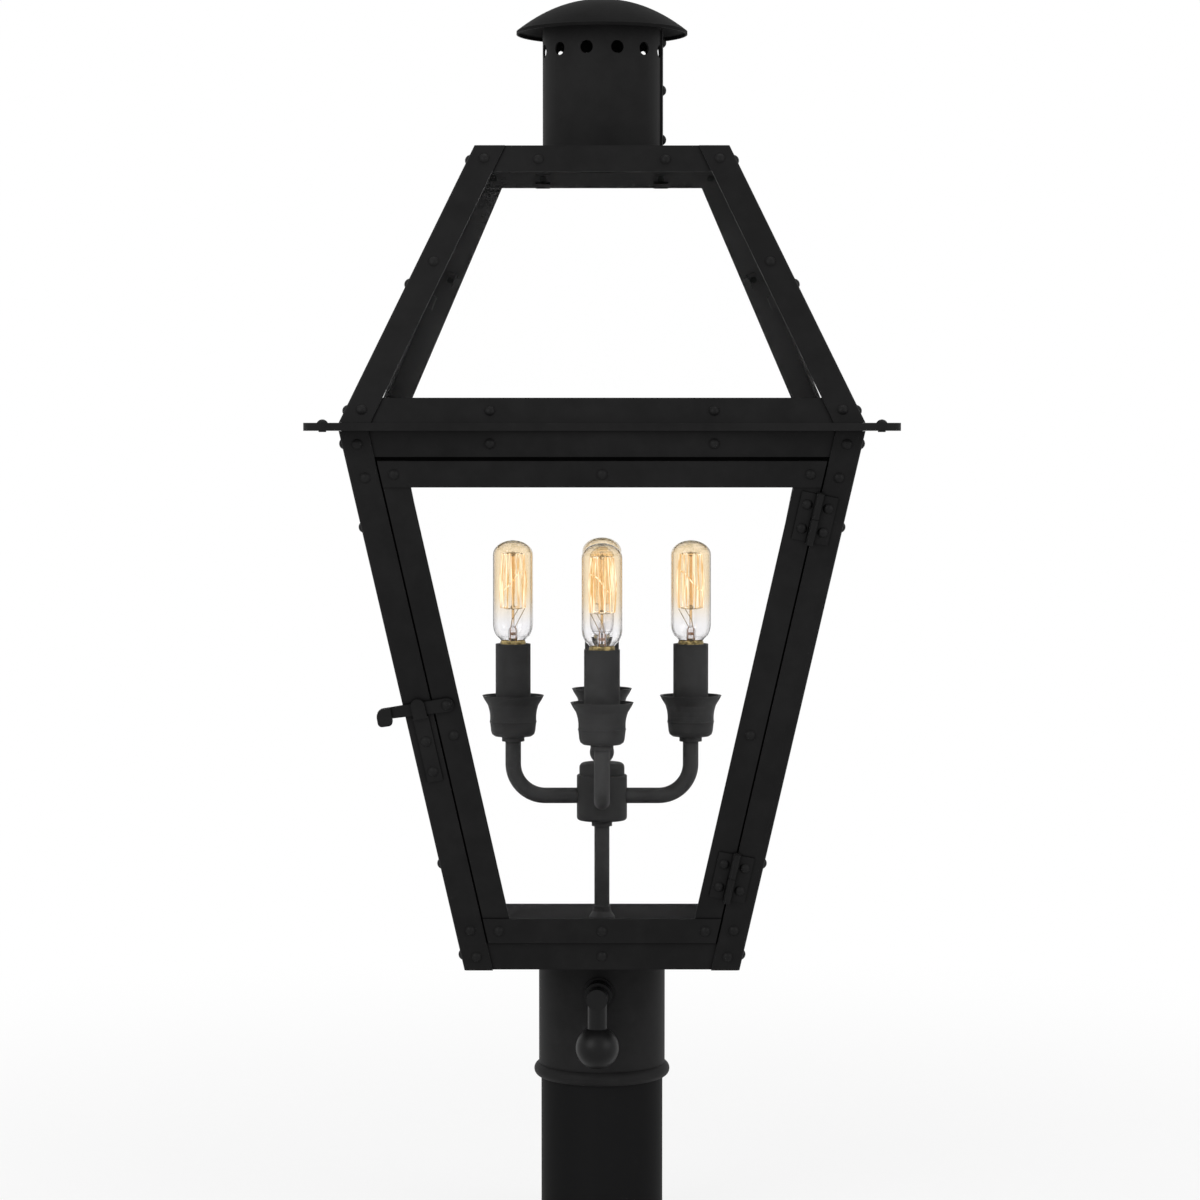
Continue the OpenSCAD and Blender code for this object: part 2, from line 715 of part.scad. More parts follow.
// Chimney rolled from sheet, lapped and riveted down its right side, with a ring of vents
module chimney_tube() {
    low = crown_z - chimney_inside;
    tall = cap_z - low + seat_rise();
    color(black) difference() {
        union() {
            translate([0, 0, low]) cylinder(d = chimney_d, h = tall, $fn = 96);
            intersection() {
                translate([0, 0, crown_z + 1])
                    cylinder(d = chimney_d + 2 * chimney_wall, h = cap_rise - 1, $fn = 96);
                translate([0, -seam_w / 2, crown_z]) cube([chimney_d, seam_w, cap_rise]);
            }
        }
        translate([0, 0, low - 1]) cylinder(d = chimney_d - 2 * chimney_wall, h = tall + 2, $fn = 96);
        for (i = [0:vents - 1])
            rotate(180 / vents + 360 / vents * i) translate([chimney_d / 2 - 5, 0, cap_z - vent_drop])
                rotate([0, 90, 0]) cylinder(d = vent_d, h = 10);
        seam_marks() translate([0, 0, -5]) cylinder(d = hole_d, h = 10);
    }
}

// Heights of the cap's top and underside above its rim, and of the chimney's end
function cap_at(r) = cap_h * (1 - pow(2 * r / cap_d, cap_full));
function cap_under(r) = cap_at(r * cap_d / (cap_d - 2 * cap_t)) - cap_t;
function seat_rise() = cap_under(chimney_d / 2) - loose;

// Spun cap with a spigot that drops into the chimney
module chimney_cap() {
    steps = 18;
    r = cap_d / 2;
    edge = r - cap_t;
    spigot = chimney_d / 2 - chimney_wall - fit;
    color(black) translate([0, 0, cap_z]) rotate_extrude($fn = 96)
        polygon(concat([for (i = [0:steps]) [r * i / steps, cap_at(r * i / steps)]],
            [[r, -cap_lip], [edge, -cap_lip], [edge, 0]],
            [for (i = [steps - 1:-1:0]) let (x = edge * i / steps) if (x > spigot) [x, cap_under(x)]],
            [[spigot, cap_under(spigot)], [spigot, -1], [spigot - cap_t, -1]],
            [for (i = [steps - 1:-1:0]) let (x = edge * i / steps)
                if (x < spigot - cap_t) [x, cap_under(x)]]));
}

// Tube with a rolled bead that slips over the post
module fitter_tube() {
    bore = post_d / 2 + post_gap;
    outer = fitter_r;
    color(black) difference() {
        union() {
            translate([0, 0, fitter_z]) cylinder(r = outer, h = fitter_len, $fn = 96);
            translate([0, 0, fitter_z + bead_h / 2]) rotate_extrude($fn = 96)
                translate([outer + bead_out - bead_h / 2, 0]) circle(d = bead_h, $fn = 32);
            screw_marks() translate([0, 0, outer - boss_in])
                cylinder(d = 2 * screw_d, h = boss_in + boss_rise);
        }
        translate([0, 0, fitter_z - 1]) cylinder(r = bore, h = fitter_len + 2, $fn = 96);
        screw_marks() cylinder(d = screw_d + 2 * fit, h = 2 * outer);
    }
}

// Ring round the fitter's top, riveted under the tray
module fitter_flange()
    color(black) difference() {
        translate([0, 0, body_z - rail_t]) cylinder(r = fitter_r + flange_w, h = rail_t, $fn = 96);
        translate([0, 0, body_z - rail_t - 1]) cylinder(r = fitter_r + fit, h = rail_t + 2, $fn = 96);
        flange_marks() translate([0, 0, -5]) cylinder(d = hole_d, h = 10);
    }

module screw_marks()
    for (hand = [-1, 1])
        rotate(90 - fitter_turn + hand * screw_angle) translate([0, 0, fitter_z + screw_rise])
            rotate([0, 90, 0]) children();

module set_screws() {
    seat = fitter_r + boss_rise;
    color(soft_black) screw_marks() {
        translate([0, 0, post_d / 2 + fit]) cylinder(d = screw_d, h = seat - post_d / 2 + 1);
        translate([0, 0, seat + loose]) cylinder(d = 1.7 * screw_d, h = 4, $fn = 6);
    }
}

module post()
    color([0.1, 0.1, 0.11]) difference() {
        cylinder(d = post_d, h = body_z - post_seat, $fn = 96);
        translate([0, 0, -1]) cylinder(d = post_d - 2 * post_wall, h = body_z + 2, $fn = 96);
    }

// Places its children on the tap's axis, which runs out of the fitter towards -Y
module at_tap() rotate(-fitter_turn) translate([0, 0, body_z - tap_drop]) children();

// Barrel and spindle of the dummy tap on the front of the fitter
module tap_body()
    color(black) at_tap() difference() {
        rotate([90, 0, 0]) {
            cylinder(d = tap_d, h = fitter_r + tap_len);
            cylinder(d = tap_flange_d, h = fitter_r + tap_flange_t);
            cylinder(d = spindle_d, h = fitter_r + tap_len + lever_d * 0.7);
        }
        translate([0, 0, -tap_d]) cylinder(r = fitter_r + fit, h = 2 * tap_d, $fn = 96);
        translate([-tap_d, 0, -tap_d]) cube(2 * tap_d);
    }

// Ball lever that hangs from the spindle
module tap_lever() {
    face = fitter_r + tap_len + loose;
    thick = lever_d + 0.6;
    color(black) at_tap() translate([0, -face - thick / 2, 0]) difference() {
        union() {
            translate([0, thick / 2, 0]) rotate([90, 0, 0]) cylinder(d = lever_d + 1, h = thick);
            translate([0, 0, -ball_reach]) cylinder(d = lever_d, h = ball_reach);
            translate([0, 0, -ball_reach]) sphere(d = ball_d, $fn = 96);
        }
        translate([0, thick / 2 + 1, 0]) rotate([90, 0, 0])
            cylinder(d = spindle_d + 2 * fit, h = lever_d * 0.7 + 2 * loose + 1);
    }
}

// Places its children at each hinge, Y along the pin and Z out of the wall
module at_hinges()
    on_body(FRONT)
        for (y = [(body_h - hinge_drop) / cos(body_lean), hinge_rise / cos(body_lean)])
            translate([side_x(BODY, y, seam_in), y, 0]) rotate(-tilt(BODY)) children();

// The frame's leaf has the lower knuckle and the door's leaf the upper one
module hinge_leaf(hand) {
    clear = knuckle_d / 2 + loose;
    foot = hand > 0 ? -knuckle_len / 2 : loose / 2;
    tall = knuckle_len / 2 - loose / 2;
    plate = (leaf_h - loose) / 2;
    difference() {
        union() {
            translate([hand > 0 ? clear : -leaf_w, -leaf_h / 2, 0]) cube([leaf_w - clear, leaf_h, leaf_t]);
            translate([hand > 0 ? 0 : -clear - 1, hand > 0 ? -leaf_h / 2 : loose / 2, 0.2])
                cube([clear + 1, plate, leaf_t - 0.2]);
            translate([0, foot, pin_lift]) rotate([-90, 0, 0]) cylinder(d = knuckle_d, h = tall);
        }
        translate([0, -knuckle_len, pin_lift]) rotate([-90, 0, 0])
            cylinder(d = pin_d + 2 * fit, h = 2 * knuckle_len);
        leaf_holes(hand);
    }
}

module leaf_marks(hand)
    for (end = [-1, 1]) translate([hand * leaf_rivet_x, end * leaf_pitch / 2, 0]) children();

module leaf_holes(hand) leaf_marks(hand) translate([0, 0, -10]) cylinder(d = hole_d, h = 14);

module leaf_rivets(hand, grip) leaf_marks(hand) rivet(leaf_t, grip);

module frame_hinge_leaves() color(black) at_hinges() hinge_leaf(1);

module door_hinge_leaves() color(black) at_hinges() hinge_leaf(-1);

module hinge_pins()
    color([0.5, 0.5, 0.5]) at_hinges() translate([0, -knuckle_len / 2, pin_lift]) rotate([-90, 0, 0])
        cylinder(d = pin_d, h = knuckle_len);

module door_stile(hand)
    color(black) difference() {
        on_body(FRONT) sheet(0, door_t)
            upstrip(BODY, door_low, door_high, door_in, door_in + door_strip_w, hand);
        on_body(FRONT) holes(door_marks(), hand);
        if (hand > 0) at_hinges() leaf_holes(-1);
        if (hand < 0) at_latch() translate([0, 0, -10]) cylinder(d = hole_d, h = 14);
    }

module door_left_stile() door_stile(-1);
module door_right_stile() door_stile(1);

// Corner rivets, the clip rivets of the stiles and the clip rivets of the rails
function door_marks() = concat(
    [for (y = [door_low + door_mid, door_high - door_mid], hand = [-1, 1])
        [hand * side_x(BODY, y, door_in + door_mid), y, door_t, 2 * door_t]],
    [for (hand = [-1, 1])
        [hand * side_x(BODY, door_clip_y, door_in + door_mid), door_clip_y, 0, door_t + clip_t]],
    [for (y = [door_low + door_mid, door_high - door_mid]) [0, y, door_t, door_t + clip_t]]);

module door_rail(y)
    color(black) difference() {
        on_body(FRONT) sheet(-door_t, door_t) band(BODY, y - door_mid, y + door_mid, door_in);
        on_body(FRONT) holes([for (m = door_marks()) if (m[1] == y) m]);
    }

module door_top_rail() door_rail(door_high - door_mid);
module door_bottom_rail() door_rail(door_low + door_mid);

module door_pane()
    color([0.85, 0.92, 0.92, 0.35]) on_body(FRONT) sheet(door_t + fit, glass_t)
        band(BODY, door_low + door_mid + glass_back, door_high - door_mid - glass_back,
            door_in + door_mid + glass_back);

module door_clips()
    color([0.6, 0.55, 0.4]) on_body(FRONT) {
        translate([0, door_low + door_mid, 0]) clip(0, door_t + fit);
        translate([0, door_high - door_mid, 0]) rotate(180) clip(0, door_t + fit);
        for (hand = [-1, 1])
            translate([hand * side_x(BODY, door_clip_y, door_in + door_mid), door_clip_y, 0])
                rotate(hand * (90 - tilt(BODY))) clip(door_t, door_t + fit);
    }

module door_rivets()
    color(soft_black) {
        on_body(FRONT) rivets(door_marks());
        at_hinges() leaf_rivets(-1, leaf_t + door_t);
    }

// Places its children at the latch pivot, X along the lever towards its tip
module at_latch()
    on_body(FRONT) translate([-side_x(BODY, latch_y, latch_in), latch_y, 0])
        rotate(180 + latch_droop) children();

// Places its children on the lever's centre line at the keeper, Y up along the corner bar
module at_keeper() {
    run = (latch_in - rivet_in) * sqrt(1 + pow(BODY[1], 2))
        / (cos(latch_droop) + BODY[1] * sin(latch_droop));
    y = latch_y - run * sin(latch_droop);
    on_body(FRONT) translate([-side_x(BODY, y, rivet_in), y, 0]) rotate(tilt(BODY)) children();
}

module latch_lever() {
    half = latch_w / 2;
    tip = latch_tip_w / 2;
    inner = latch_len - tab_w;
    round = 2.6;
    curl = 4.7;
    color(black) at_latch() difference() {
        union() {
            translate([0, 0, latch_lift]) linear_extrude(latch_t) {
                circle(r = half);
                polygon([[0, -half], [inner + 1, -tip], [inner + 1, tip], [0, half]]);
            }
            translate([0, 0, latch_lift]) linear_extrude(tab_t)
                polygon(concat(arc([latch_len - round, tab_drop - round], round, 0, 90, 5),
                    arc([inner + round, tab_drop - round], round, 90, 180, 5),
                    [[inner, -tip]], arc([latch_len - curl, curl - tip], curl, 270, 360, 5)));
        }
        translate([0, 0, -1]) cylinder(d = hole_d, h = 6);
    }
}

module latch_pivot()
    color(soft_black) at_latch() rivet(latch_lift + latch_t + fit, latch_lift + latch_t + fit + door_t);

module keeper_marks()
    for (down = [keeper_rivet_high, keeper_rivet_low]) translate([0, -down, 0]) children();

module keeper_holes() keeper_marks() translate([0, 0, -10]) cylinder(d = hole_d, h = 14);

module keeper_rivets() keeper_marks() rivet(keeper_t, keeper_t + bar_t + stop_t);

// Strap riveted to the corner bar, with a raised tongue that the lever drops behind
module latch_keeper() {
    step = -latch_w / 2 - 0.6;
    half = keeper_w / 2;
    tongue = half - 0.5;
    color(black) at_keeper() difference() {
        union() {
            translate([-half, -keeper_down, 0]) cube([keeper_w, keeper_down + step, keeper_t]);
            translate([-half, step - keeper_t, 0]) cube([keeper_w, keeper_t, keeper_lift + keeper_t]);
            translate([0, 0, keeper_lift]) linear_extrude(keeper_t)
                polygon(concat([[-tongue, step - keeper_t], [tongue, step - keeper_t]],
                    arc([0, tongue_up - tongue], tongue, 0, 180, 10)));
        }
        keeper_holes();
    }
}

module around() for (i = [0:3]) rotate(90 * i) translate([arm_reach, 0, 0]) children();

// Stem from the tray to the hub, with a nut foot and two collars
module cluster_stem() {
    r = stem_d / 2;
    top = arm_z - hub_h / 2 - 1.1;
    color(soft_black) translate([0, 0, floor_z]) rotate_extrude()
        polygon([[0, -rail_t], [r, -rail_t], [r, 0], [foot_d / 2, 0], [foot_d / 2, 2.4],
            [foot_d / 2 - 3, 4], [r + 3.4, 5], [r + 3.4, nut_h], [r + 1, nut_h + 3.4],
            [r + 1, nut_h + 4.8], [r + 0.6, nut_h + 4.8], [r + 0.6, nut_h + 6.6],
            [r, nut_h + 7.2], [r, top - 3.6 - floor_z],
            [r + 1.65, top - 3.6 - floor_z], [r + 1.65, top - floor_z], [0, top - floor_z]]);
}

// Turned hub with a stepped cap and a ball
module cluster_hub() {
    r = hub_d / 2;
    low = -hub_h / 2 - 1.1;
    high = low + hub_h;
    ball = finial_d / 2;
    color(soft_black) translate([0, 0, arm_z]) difference() {
        union() {
            rotate_extrude()
                polygon(concat([[0, low], [r - 2, low]], arc([r - 2, low + 2], 2, -90, 0, 4),
                    [[r, high - 1]], arc([r - 1, high - 1], 1, 0, 90, 4),
                    [[r - 1.6, high], [r - 1.6, high + 4.6]], arc([r - 4.6, high + 4.6], 3, 0, 90, 5),
                    [[5.4, high + 7.6], [4, high + 9], [0, high + 9]]));
            translate([0, 0, high + 7.6 + ball * 0.86]) sphere(r = ball);
        }
        for (i = [0:3])
            rotate([0, 90, 90 * i]) translate([0, 0, r - 4]) cylinder(d = arm_d + 2 * fit, h = r);
    }
}

module cluster_arms() {
    start = hub_d / 2 - 4 + fit;
    color(soft_black) for (i = [0:3]) rotate([0, 0, 90 * i]) translate([0, 0, arm_z]) {
        translate([start, 0, 0]) rotate([0, 90, 0]) cylinder(d = arm_d, h = arm_reach - arm_bend - start);
        translate([arm_reach - arm_bend, 0, arm_bend]) rotate([90, 0, 0])
            rotate([0, 0, -90]) rotate_extrude(angle = 90) translate([arm_bend, 0]) circle(d = arm_d);
        translate([arm_reach, 0, arm_bend]) cylinder(d = arm_d, h = cup_rise - arm_bend - 1);
        translate([arm_reach, 0, cup_rise - 3.2]) cylinder(d = arm_d + 4.3, h = 3.2);
    }
}

// Spun drip cups: a full round foot, a faint bead and a lip that flares
module candle_cups() {
    r = cup_d / 2;
    w = cup_wall;
    waist = sleeve_d / 2 + 3.5;
    outside = [[waist - 2.9, 0], [waist - 1.2, 1.3], [waist - 0.6, 3.2], [waist - 0.3, 5.8],
        [waist, 8.4], [waist + 0.3, 9.2], [waist, 10], [waist, 13], [waist + 0.4, 16],
        [waist + 1.4, 19.6], [r - 1.2, cup_h - 2.4], [r, cup_h]];
    inside = [[r - w, cup_h], [r - 1.2 - w, cup_h - 2.2], [waist + 1.4 - w, 19.8],
        [waist + 0.4 - w, 16], [waist - w, 13], [waist - w, 8.4], [waist - 0.6 - w, 3.6],
        [waist - 2.9, w]];
    color(soft_black) around() translate([0, 0, cup_z]) rotate_extrude()
        polygon(concat([[0, 0]], outside, inside, [[0, w]]));
}

module candle_sleeves()
    color([0.2, 0.2, 0.2]) around() translate([0, 0, sleeve_z]) difference() {
        cylinder(d = sleeve_d, h = sleeve_top - sleeve_z);
        translate([0, 0, -1]) cylinder(d = sleeve_d - 2 * sleeve_wall, h = sleeve_top - sleeve_z + 2);
    }

module lamp_holders() {
    top = sleeve_top - 1.4;
    color([0.12, 0.12, 0.12]) around() translate([0, 0, sleeve_z]) difference() {
        cylinder(r = holder_r, h = top - sleeve_z);
        translate([0, 0, bulb_z - base_len - 3.4 - sleeve_z]) cylinder(d = base_d + 2 * fit, h = top);
    }
}

module bulb_bases() {
    r = base_d / 2;
    color([0.78, 0.6, 0.28]) around() translate([0, 0, bulb_z - base_len]) rotate_extrude()
        polygon(concat([[0, -3], [2.8, -3], [2.8, -1.6], [4.4, 0], [r - 1, 0]],
            [for (i = [0:5]) each [[r - 0.2, 1.2 + i * 2.4], [r - 0.8, 2.4 + i * 2.4]]],
            [[r - 0.8, base_len - 5], [r, base_len - 5], [r, base_len], [0, base_len]]));
}

// Tubular bulb: a round shoulder, a straight barrel and a domed top, hollow inside
module bulb_glasses() {
    r = bulb_d / 2;
    in = bulb_wall;
    neck = base_d / 2 - 0.9;
    shoulder = [[neck, 0.4], [neck + 1.6, 2.2], [r - 1.9, 4.1], [r - 1, 5.9], [r - 0.35, 7.8], [r, 10.5]];
    dome_z = bulb_h - bulb_dome;
    color([0.85, 0.6, 0.3, 0.4]) around() translate([0, 0, bulb_z + fit / 2]) rotate_extrude()
        polygon(concat([[neck - in, 0], [neck, 0]], shoulder,
            [for (a = [0:10:90]) [r * cos(a), dome_z + bulb_dome * sin(a)]],
            [for (a = [90:-10:0]) [(r - in) * cos(a), dome_z + (bulb_dome - in) * sin(a)]],
            [for (i = [5:-1:0]) shoulder[i] + [-in, i == 0 ? 0.1 : 0.2]]));
}

// Glass stem, two lead wires and the upright cage of filament
module bulb_filaments() {
    strands = 10;
    r = cage_d / 2;
    low = bulb_h - cage_drop - cage_h;
    color([0.7, 0.45, 0.2]) around() translate([0, 0, bulb_z + fit]) {
        cylinder(d1 = base_d - 5, d2 = 4, h = 7);
        cylinder(d = 4, h = low + cage_h / 2, $fn = 32);
        for (z = [low, low + cage_h]) {
            translate([0, 0, z - 0.4]) rotate_extrude($fn = 32)
                translate([r - 0.4, 0]) square([0.8, 0.8]);
            for (i = [0:1]) rotate(90 * i) translate([-r, -0.3, z - 0.3]) cube([2 * r, 0.6, 0.6]);
        }
        cylinder(d = 1.2, h = low + cage_h, $fn = 24);
        for (i = [0:strands - 1])
            rotate(360 / strands * i) translate([r, 0, low]) cylinder(d = 0.7, h = cage_h, $fn = 16);
    }
}

front_left_bar();
front_right_bar();
back_left_bar();
back_right_bar();
front_head_rail();
right_head_rail();
back_head_rail();
left_head_rail();
base_tray();
right_pane();
back_pane();
left_pane();
door_stops();
glass_clips();
wall_rivets();
rim_plate();
front_left_rafter();
front_right_rafter();
back_left_rafter();
back_right_rafter();
front_eave_rail();
right_eave_rail();
back_eave_rail();
left_eave_rail();
crown_pan();
front_roof_pane();
right_roof_pane();
back_roof_pane();
left_roof_pane();
roof_rivets();
chimney_tube();
chimney_cap();
fitter_tube();
fitter_flange();
set_screws();
tap_body();
tap_lever();
post();
frame_hinge_leaves();
hinge_pins();
latch_keeper();
latch_lever();
latch_pivot();
door_left_stile();
door_right_stile();
door_top_rail();
door_bottom_rail();
door_pane();
door_clips();
door_rivets();
door_hinge_leaves();
cluster_stem();
cluster_hub();
cluster_arms();
candle_cups();
candle_sleeves();
lamp_holders();
bulb_bases();
bulb_glasses();
bulb_filaments();
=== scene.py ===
"""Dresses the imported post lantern: its paint, glass, bulbs, filaments and studio."""

import math

import bpy
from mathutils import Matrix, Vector


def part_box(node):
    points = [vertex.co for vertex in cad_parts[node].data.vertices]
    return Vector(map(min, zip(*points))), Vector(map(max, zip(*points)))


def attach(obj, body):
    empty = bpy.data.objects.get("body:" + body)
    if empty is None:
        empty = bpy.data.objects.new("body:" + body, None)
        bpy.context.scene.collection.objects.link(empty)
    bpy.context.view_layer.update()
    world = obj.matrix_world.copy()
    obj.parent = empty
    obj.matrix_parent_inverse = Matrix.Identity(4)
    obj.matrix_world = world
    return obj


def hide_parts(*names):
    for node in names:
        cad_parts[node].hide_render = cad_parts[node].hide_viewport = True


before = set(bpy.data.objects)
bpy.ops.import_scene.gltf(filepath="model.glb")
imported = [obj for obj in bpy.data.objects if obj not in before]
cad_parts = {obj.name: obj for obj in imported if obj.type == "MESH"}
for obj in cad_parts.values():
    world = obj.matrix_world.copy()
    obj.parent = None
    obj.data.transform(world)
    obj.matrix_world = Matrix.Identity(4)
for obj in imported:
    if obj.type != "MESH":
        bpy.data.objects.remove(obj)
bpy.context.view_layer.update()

bl_info = {
    "name": "Post lantern finish",
    "version": (1, 0, 0),
    "blender": (4, 5, 0),
    "location": "3D View > Sidebar > Lantern",
    "description": "Paints, glazes and lights the post lantern",
    "category": "Object",
}

# Nodes of the part that share a finish

CORNERS = ["front_left", "front_right", "back_left", "back_right"]
SIDES = ["front", "right", "back", "left"]
STRIPS = [f"{corner}_{piece}" for piece in ("bar", "rafter") for corner in CORNERS]
STRIPS += [f"{side}_{piece}" for piece in ("head_rail", "eave_rail") for side in SIDES]
STRIPS += ["door_left_stile", "door_right_stile", "door_top_rail", "door_bottom_rail",
           "base_tray", "crown_pan", "rim_plate", "glass_clips", "door_clips"]
PANES = ["right_pane", "back_pane", "left_pane", "door_pane"] + [f"{side}_roof_pane" for side in SIDES]
RIVETS = ["wall_rivets", "roof_rivets", "door_rivets", "latch_pivot"]
FITTINGS = ["frame_hinge_leaves", "door_hinge_leaves", "latch_keeper", "latch_lever", "set_screws"]
FITTER = ["fitter_tube", "fitter_flange"]
TAP = ["tap_body", "tap_lever"]
SLEEVES = ["candle_sleeves", "lamp_holders"]

# Lightness of each paint, as a multiple of the frame's, post's or cluster's colour.
# The stop, cap, chimney, fitter, tap and cluster factors are painted light and shade: one paint made
# lighter or darker part by part. The crease factor is painted shade.

STOP_PAINTED_SHADE = 0.15
CAP_PAINTED_SHADE = 0.85
CHIMNEY_PAINTED_LIGHT = 1.2
FITTER_PAINTED_LIGHT = 1.5
TAP_PAINTED_SHADE = 0.45
POST_CLOUD_SHADE = 2.2
SLEEVE_SHADE = 1.3
CLUSTER_PAINTED_LIGHT = {"cluster_stem": 1.6, "cluster_hub": 1.12, "cluster_arms": 1.65, "candle_cups": 1.1}
CREASE_PAINTED_SHADE = 0.12
MOTTLE_SHADE = 1.7
MOTTLE_LIFT = 0.001

# Grain of the finishes, by noise scale per metre

CLOUD = {"scale": 9, "detail": 4, "rough": 0.6}
MOTTLE = {"scale": 70, "detail": 3, "rough": 0.6, "seed": 2.0}
PEEL = {"scale": 1500, "detail": 2, "rough": 0.5, "seed": 5.0}
DIMPLE = {"scale": 420, "detail": 2, "rough": 0.5, "seed": 8.0}
DUST = {"scale": 38, "detail": 5, "rough": 0.7}
CAP_PEEL = {"scale": 1200, "detail": 2}
CAP_RINGS = 4200
POST_CLOUD = {"scale": 14, "detail": 4, "stretch": (1, 1, 0.12)}
POST_SCUFF = {"scale": 160, "detail": 5, "rough": 0.7, "stretch": (1, 1, 0.2), "seed": 3.0}
POST_PEEL = {"scale": 520, "detail": 2, "seed": 1.0}
POST_DRAW = {"scale": 24, "detail": 2, "stretch": (1, 1, 0.1)}
PANE_SMUDGE = {"scale": 11, "detail": 4, "rough": 0.6}
PANE_STREAK = {"scale": 90, "detail": 3, "rough": 0.6, "stretch": (1, 1, 0.15), "seed": 4.0}
PANE_WAVE = {"scale": 7, "detail": 1}
PIN_GRAIN = {"scale": 300, "detail": 3, "rough": 0.6, "stretch": (1, 1, 6)}
TINT_DRIFT = {"scale": 40, "detail": 3}
BULB_FILM = {"scale": 60, "detail": 4}
BULB_WAVE = {"scale": 90, "detail": 2}
BRASS_STAIN = {"scale": 260, "detail": 4, "rough": 0.7}
BRASS_GRAIN = {"scale": 900, "detail": 2}
GLOW_STREAKS = {"scale": 900, "detail": 2, "rough": 0.5, "stretch": (1, 1, 0.04)}
TARNISH = {"scale": 400, "detail": 3}
STEM_SEED = {"scale": 200, "detail": 3}
FLOOR_GRAIN = {"scale": 60, "detail": 3}

# Reach of the painted shade in creases and round rivets, in metres, and its samples

CREASE_REACH = 0.003
CREASE_SAMPLES = 6

# How the pieces made here are built: metres, degrees and counts

SEED_SIZE = 0.001
MERGE_REACH = 0.000005
WIRE_SMOOTHING = 50
LATHE_SMOOTHING = 40
LATHE_STEPS = 32
STEM_STEPS = 20
BEAD_STEPS = 14
BEAD_ROUND = 0.7
FINE_SIDES = 2
FLOOR_SIDES = 96

# The photo's camera and the studio, in metres, degrees and watts; the lens and sensor in millimetres

CAMERA_X = -0.0012
CAMERA_DISTANCE = 2.080
CAMERA_RISE = 0.0004
CAMERA_TILT = 2.92
LENS = 99.9
SENSOR_WIDTH = 36
VIEW_REACH = 50
SKY_LIGHT = 0.42
FLOOR_RADIUS = 14
FLOOR_GLOW_NEAR = 0.84
FLOOR_FADE = (0.25, 1.1)
LAMP_AIM = (0, 0, 0.45)
LAMPS = {
    "Key lamp": {"place": (-1.7, -2.1, 1.5), "size": 1.7, "power": 30},
    "Fill lamp": {"place": (2.1, -1.5, 1.1), "size": 1.5, "power": 17},
    "Top lamp": {"place": (0.2, 0.3, 2.4), "size": 1.4, "power": 5},
}

# Sizes inside a bulb, in metres: a rise goes up from a foot, a drop down from a top

BULB_RADIUS = 0.0125
TINT_FOOT_RISE = 0.008
TINT_TOP_RISE = 0.034
SEAL_FOOT_DROP = 0.0022
SEAL_TOP_DROP = 0.0012
COLLAR_RADIUS = 0.0077
CAGE_HEIGHT = 0.0334
CAGE_DROP = 0.0006
CAGE_TOP_RADIUS = 0.0070
CAGE_WAIST_RADIUS = 0.0081
CAGE_FOOT_RADIUS = 0.0078
CAGE_SLACK = 0.0007
CAGE_SLACK_WAVES = 5
CAGE_SWAY = 0.12
CAGE_SWAY_WAVES = 3
SLACK_STEPS = 4
SLACK_REACH = 0.9
SLACK_BOW = 0.0015
SLACK_RISE = 0.0062
HOOK_COUNT = 7
HOOK_OFFSET = 0.3
HOOK_RADIUS = 0.00017
HOOK_DROOP_TOP = -0.0008
HOOK_DROOP_FOOT = 0.0009
LEAD_RADIUS = 0.00024
LEAD_FOOT_RISE = 0.0005
LEAD_START = 0.0014
LEAD_ELBOW_RISE = 0.0040
LEAD_TOP_DROP = 0.0008
LEAD_ELBOW_DEPTH = 0.0006
LEAD_TOP_DEPTH = 0.0010
LEADS = [{"side": 1, "reach": 0.0076, "elbow": 0.0021}, {"side": -1, "reach": 0.0036, "elbow": 0.0006}]
KNOB_RADIUS = 0.0017
KNOB_HALF = 0.0016
STEM_RADIUS = 0.0029
STEM_HEIGHT = 0.0092
CRIMP_RISE = 0.0050
CRIMP_RADIUS = 0.0017
CRIMP_HALF = 0.0011
ROD_RADIUS = 0.0009
ROD_FILLET = 1.3
ROD_FILLET_RISE = 0.0008
ROD_SHOULDER_DROP = 0.001
ROD_TIP_DROP = 0.0004

# Outline of the brass collar: offsets outwards and upwards from its radius and the foot of the glass

COLLAR_OUTLINE = [(-0.0004, -0.0001), (0, 0), (0, 0.0007), (-0.0002, 0.0010), (-0.0006, 0.0005),
                  (-0.0004, -0.0001)]

# Outline of the glass stem: shares of its radius, with the rise from its foot or the drop from its head

STEM_FOOT_OUTLINE = [(0, 0), (1.15, 0), (1, 0.0012)]
STEM_HEAD_OUTLINE = [(1, 0.0024), (0.9, 0.0012), (0.62, 0.0003)]

# Turn of each bulb's filament about its own axis, in degrees

BULB_TURNS = (180, 90, 10, 200)


# Shader building

class Link:
    """A socket on its way through a material; arithmetic on it adds Math nodes."""

    def __init__(self, maker, socket):
        self.maker = maker
        self.socket = socket

    def math(self, operation, first, second):
        return self.maker.node("ShaderNodeMath", {"operation": operation}, {0: first, 1: second})

    def __add__(self, other):
        return self.math("ADD", self, other)

    def __radd__(self, other):
        return self.math("ADD", other, self)

    def __sub__(self, other):
        return self.math("SUBTRACT", self, other)

    def __rsub__(self, other):
        return self.math("SUBTRACT", other, self)

    def __mul__(self, other):
        return self.math("MULTIPLY", self, other)

    def __rmul__(self, other):
        return self.math("MULTIPLY", other, self)

    def __pow__(self, other):
        return self.math("POWER", self, other)

    def __rpow__(self, other):
        return self.math("POWER", other, self)


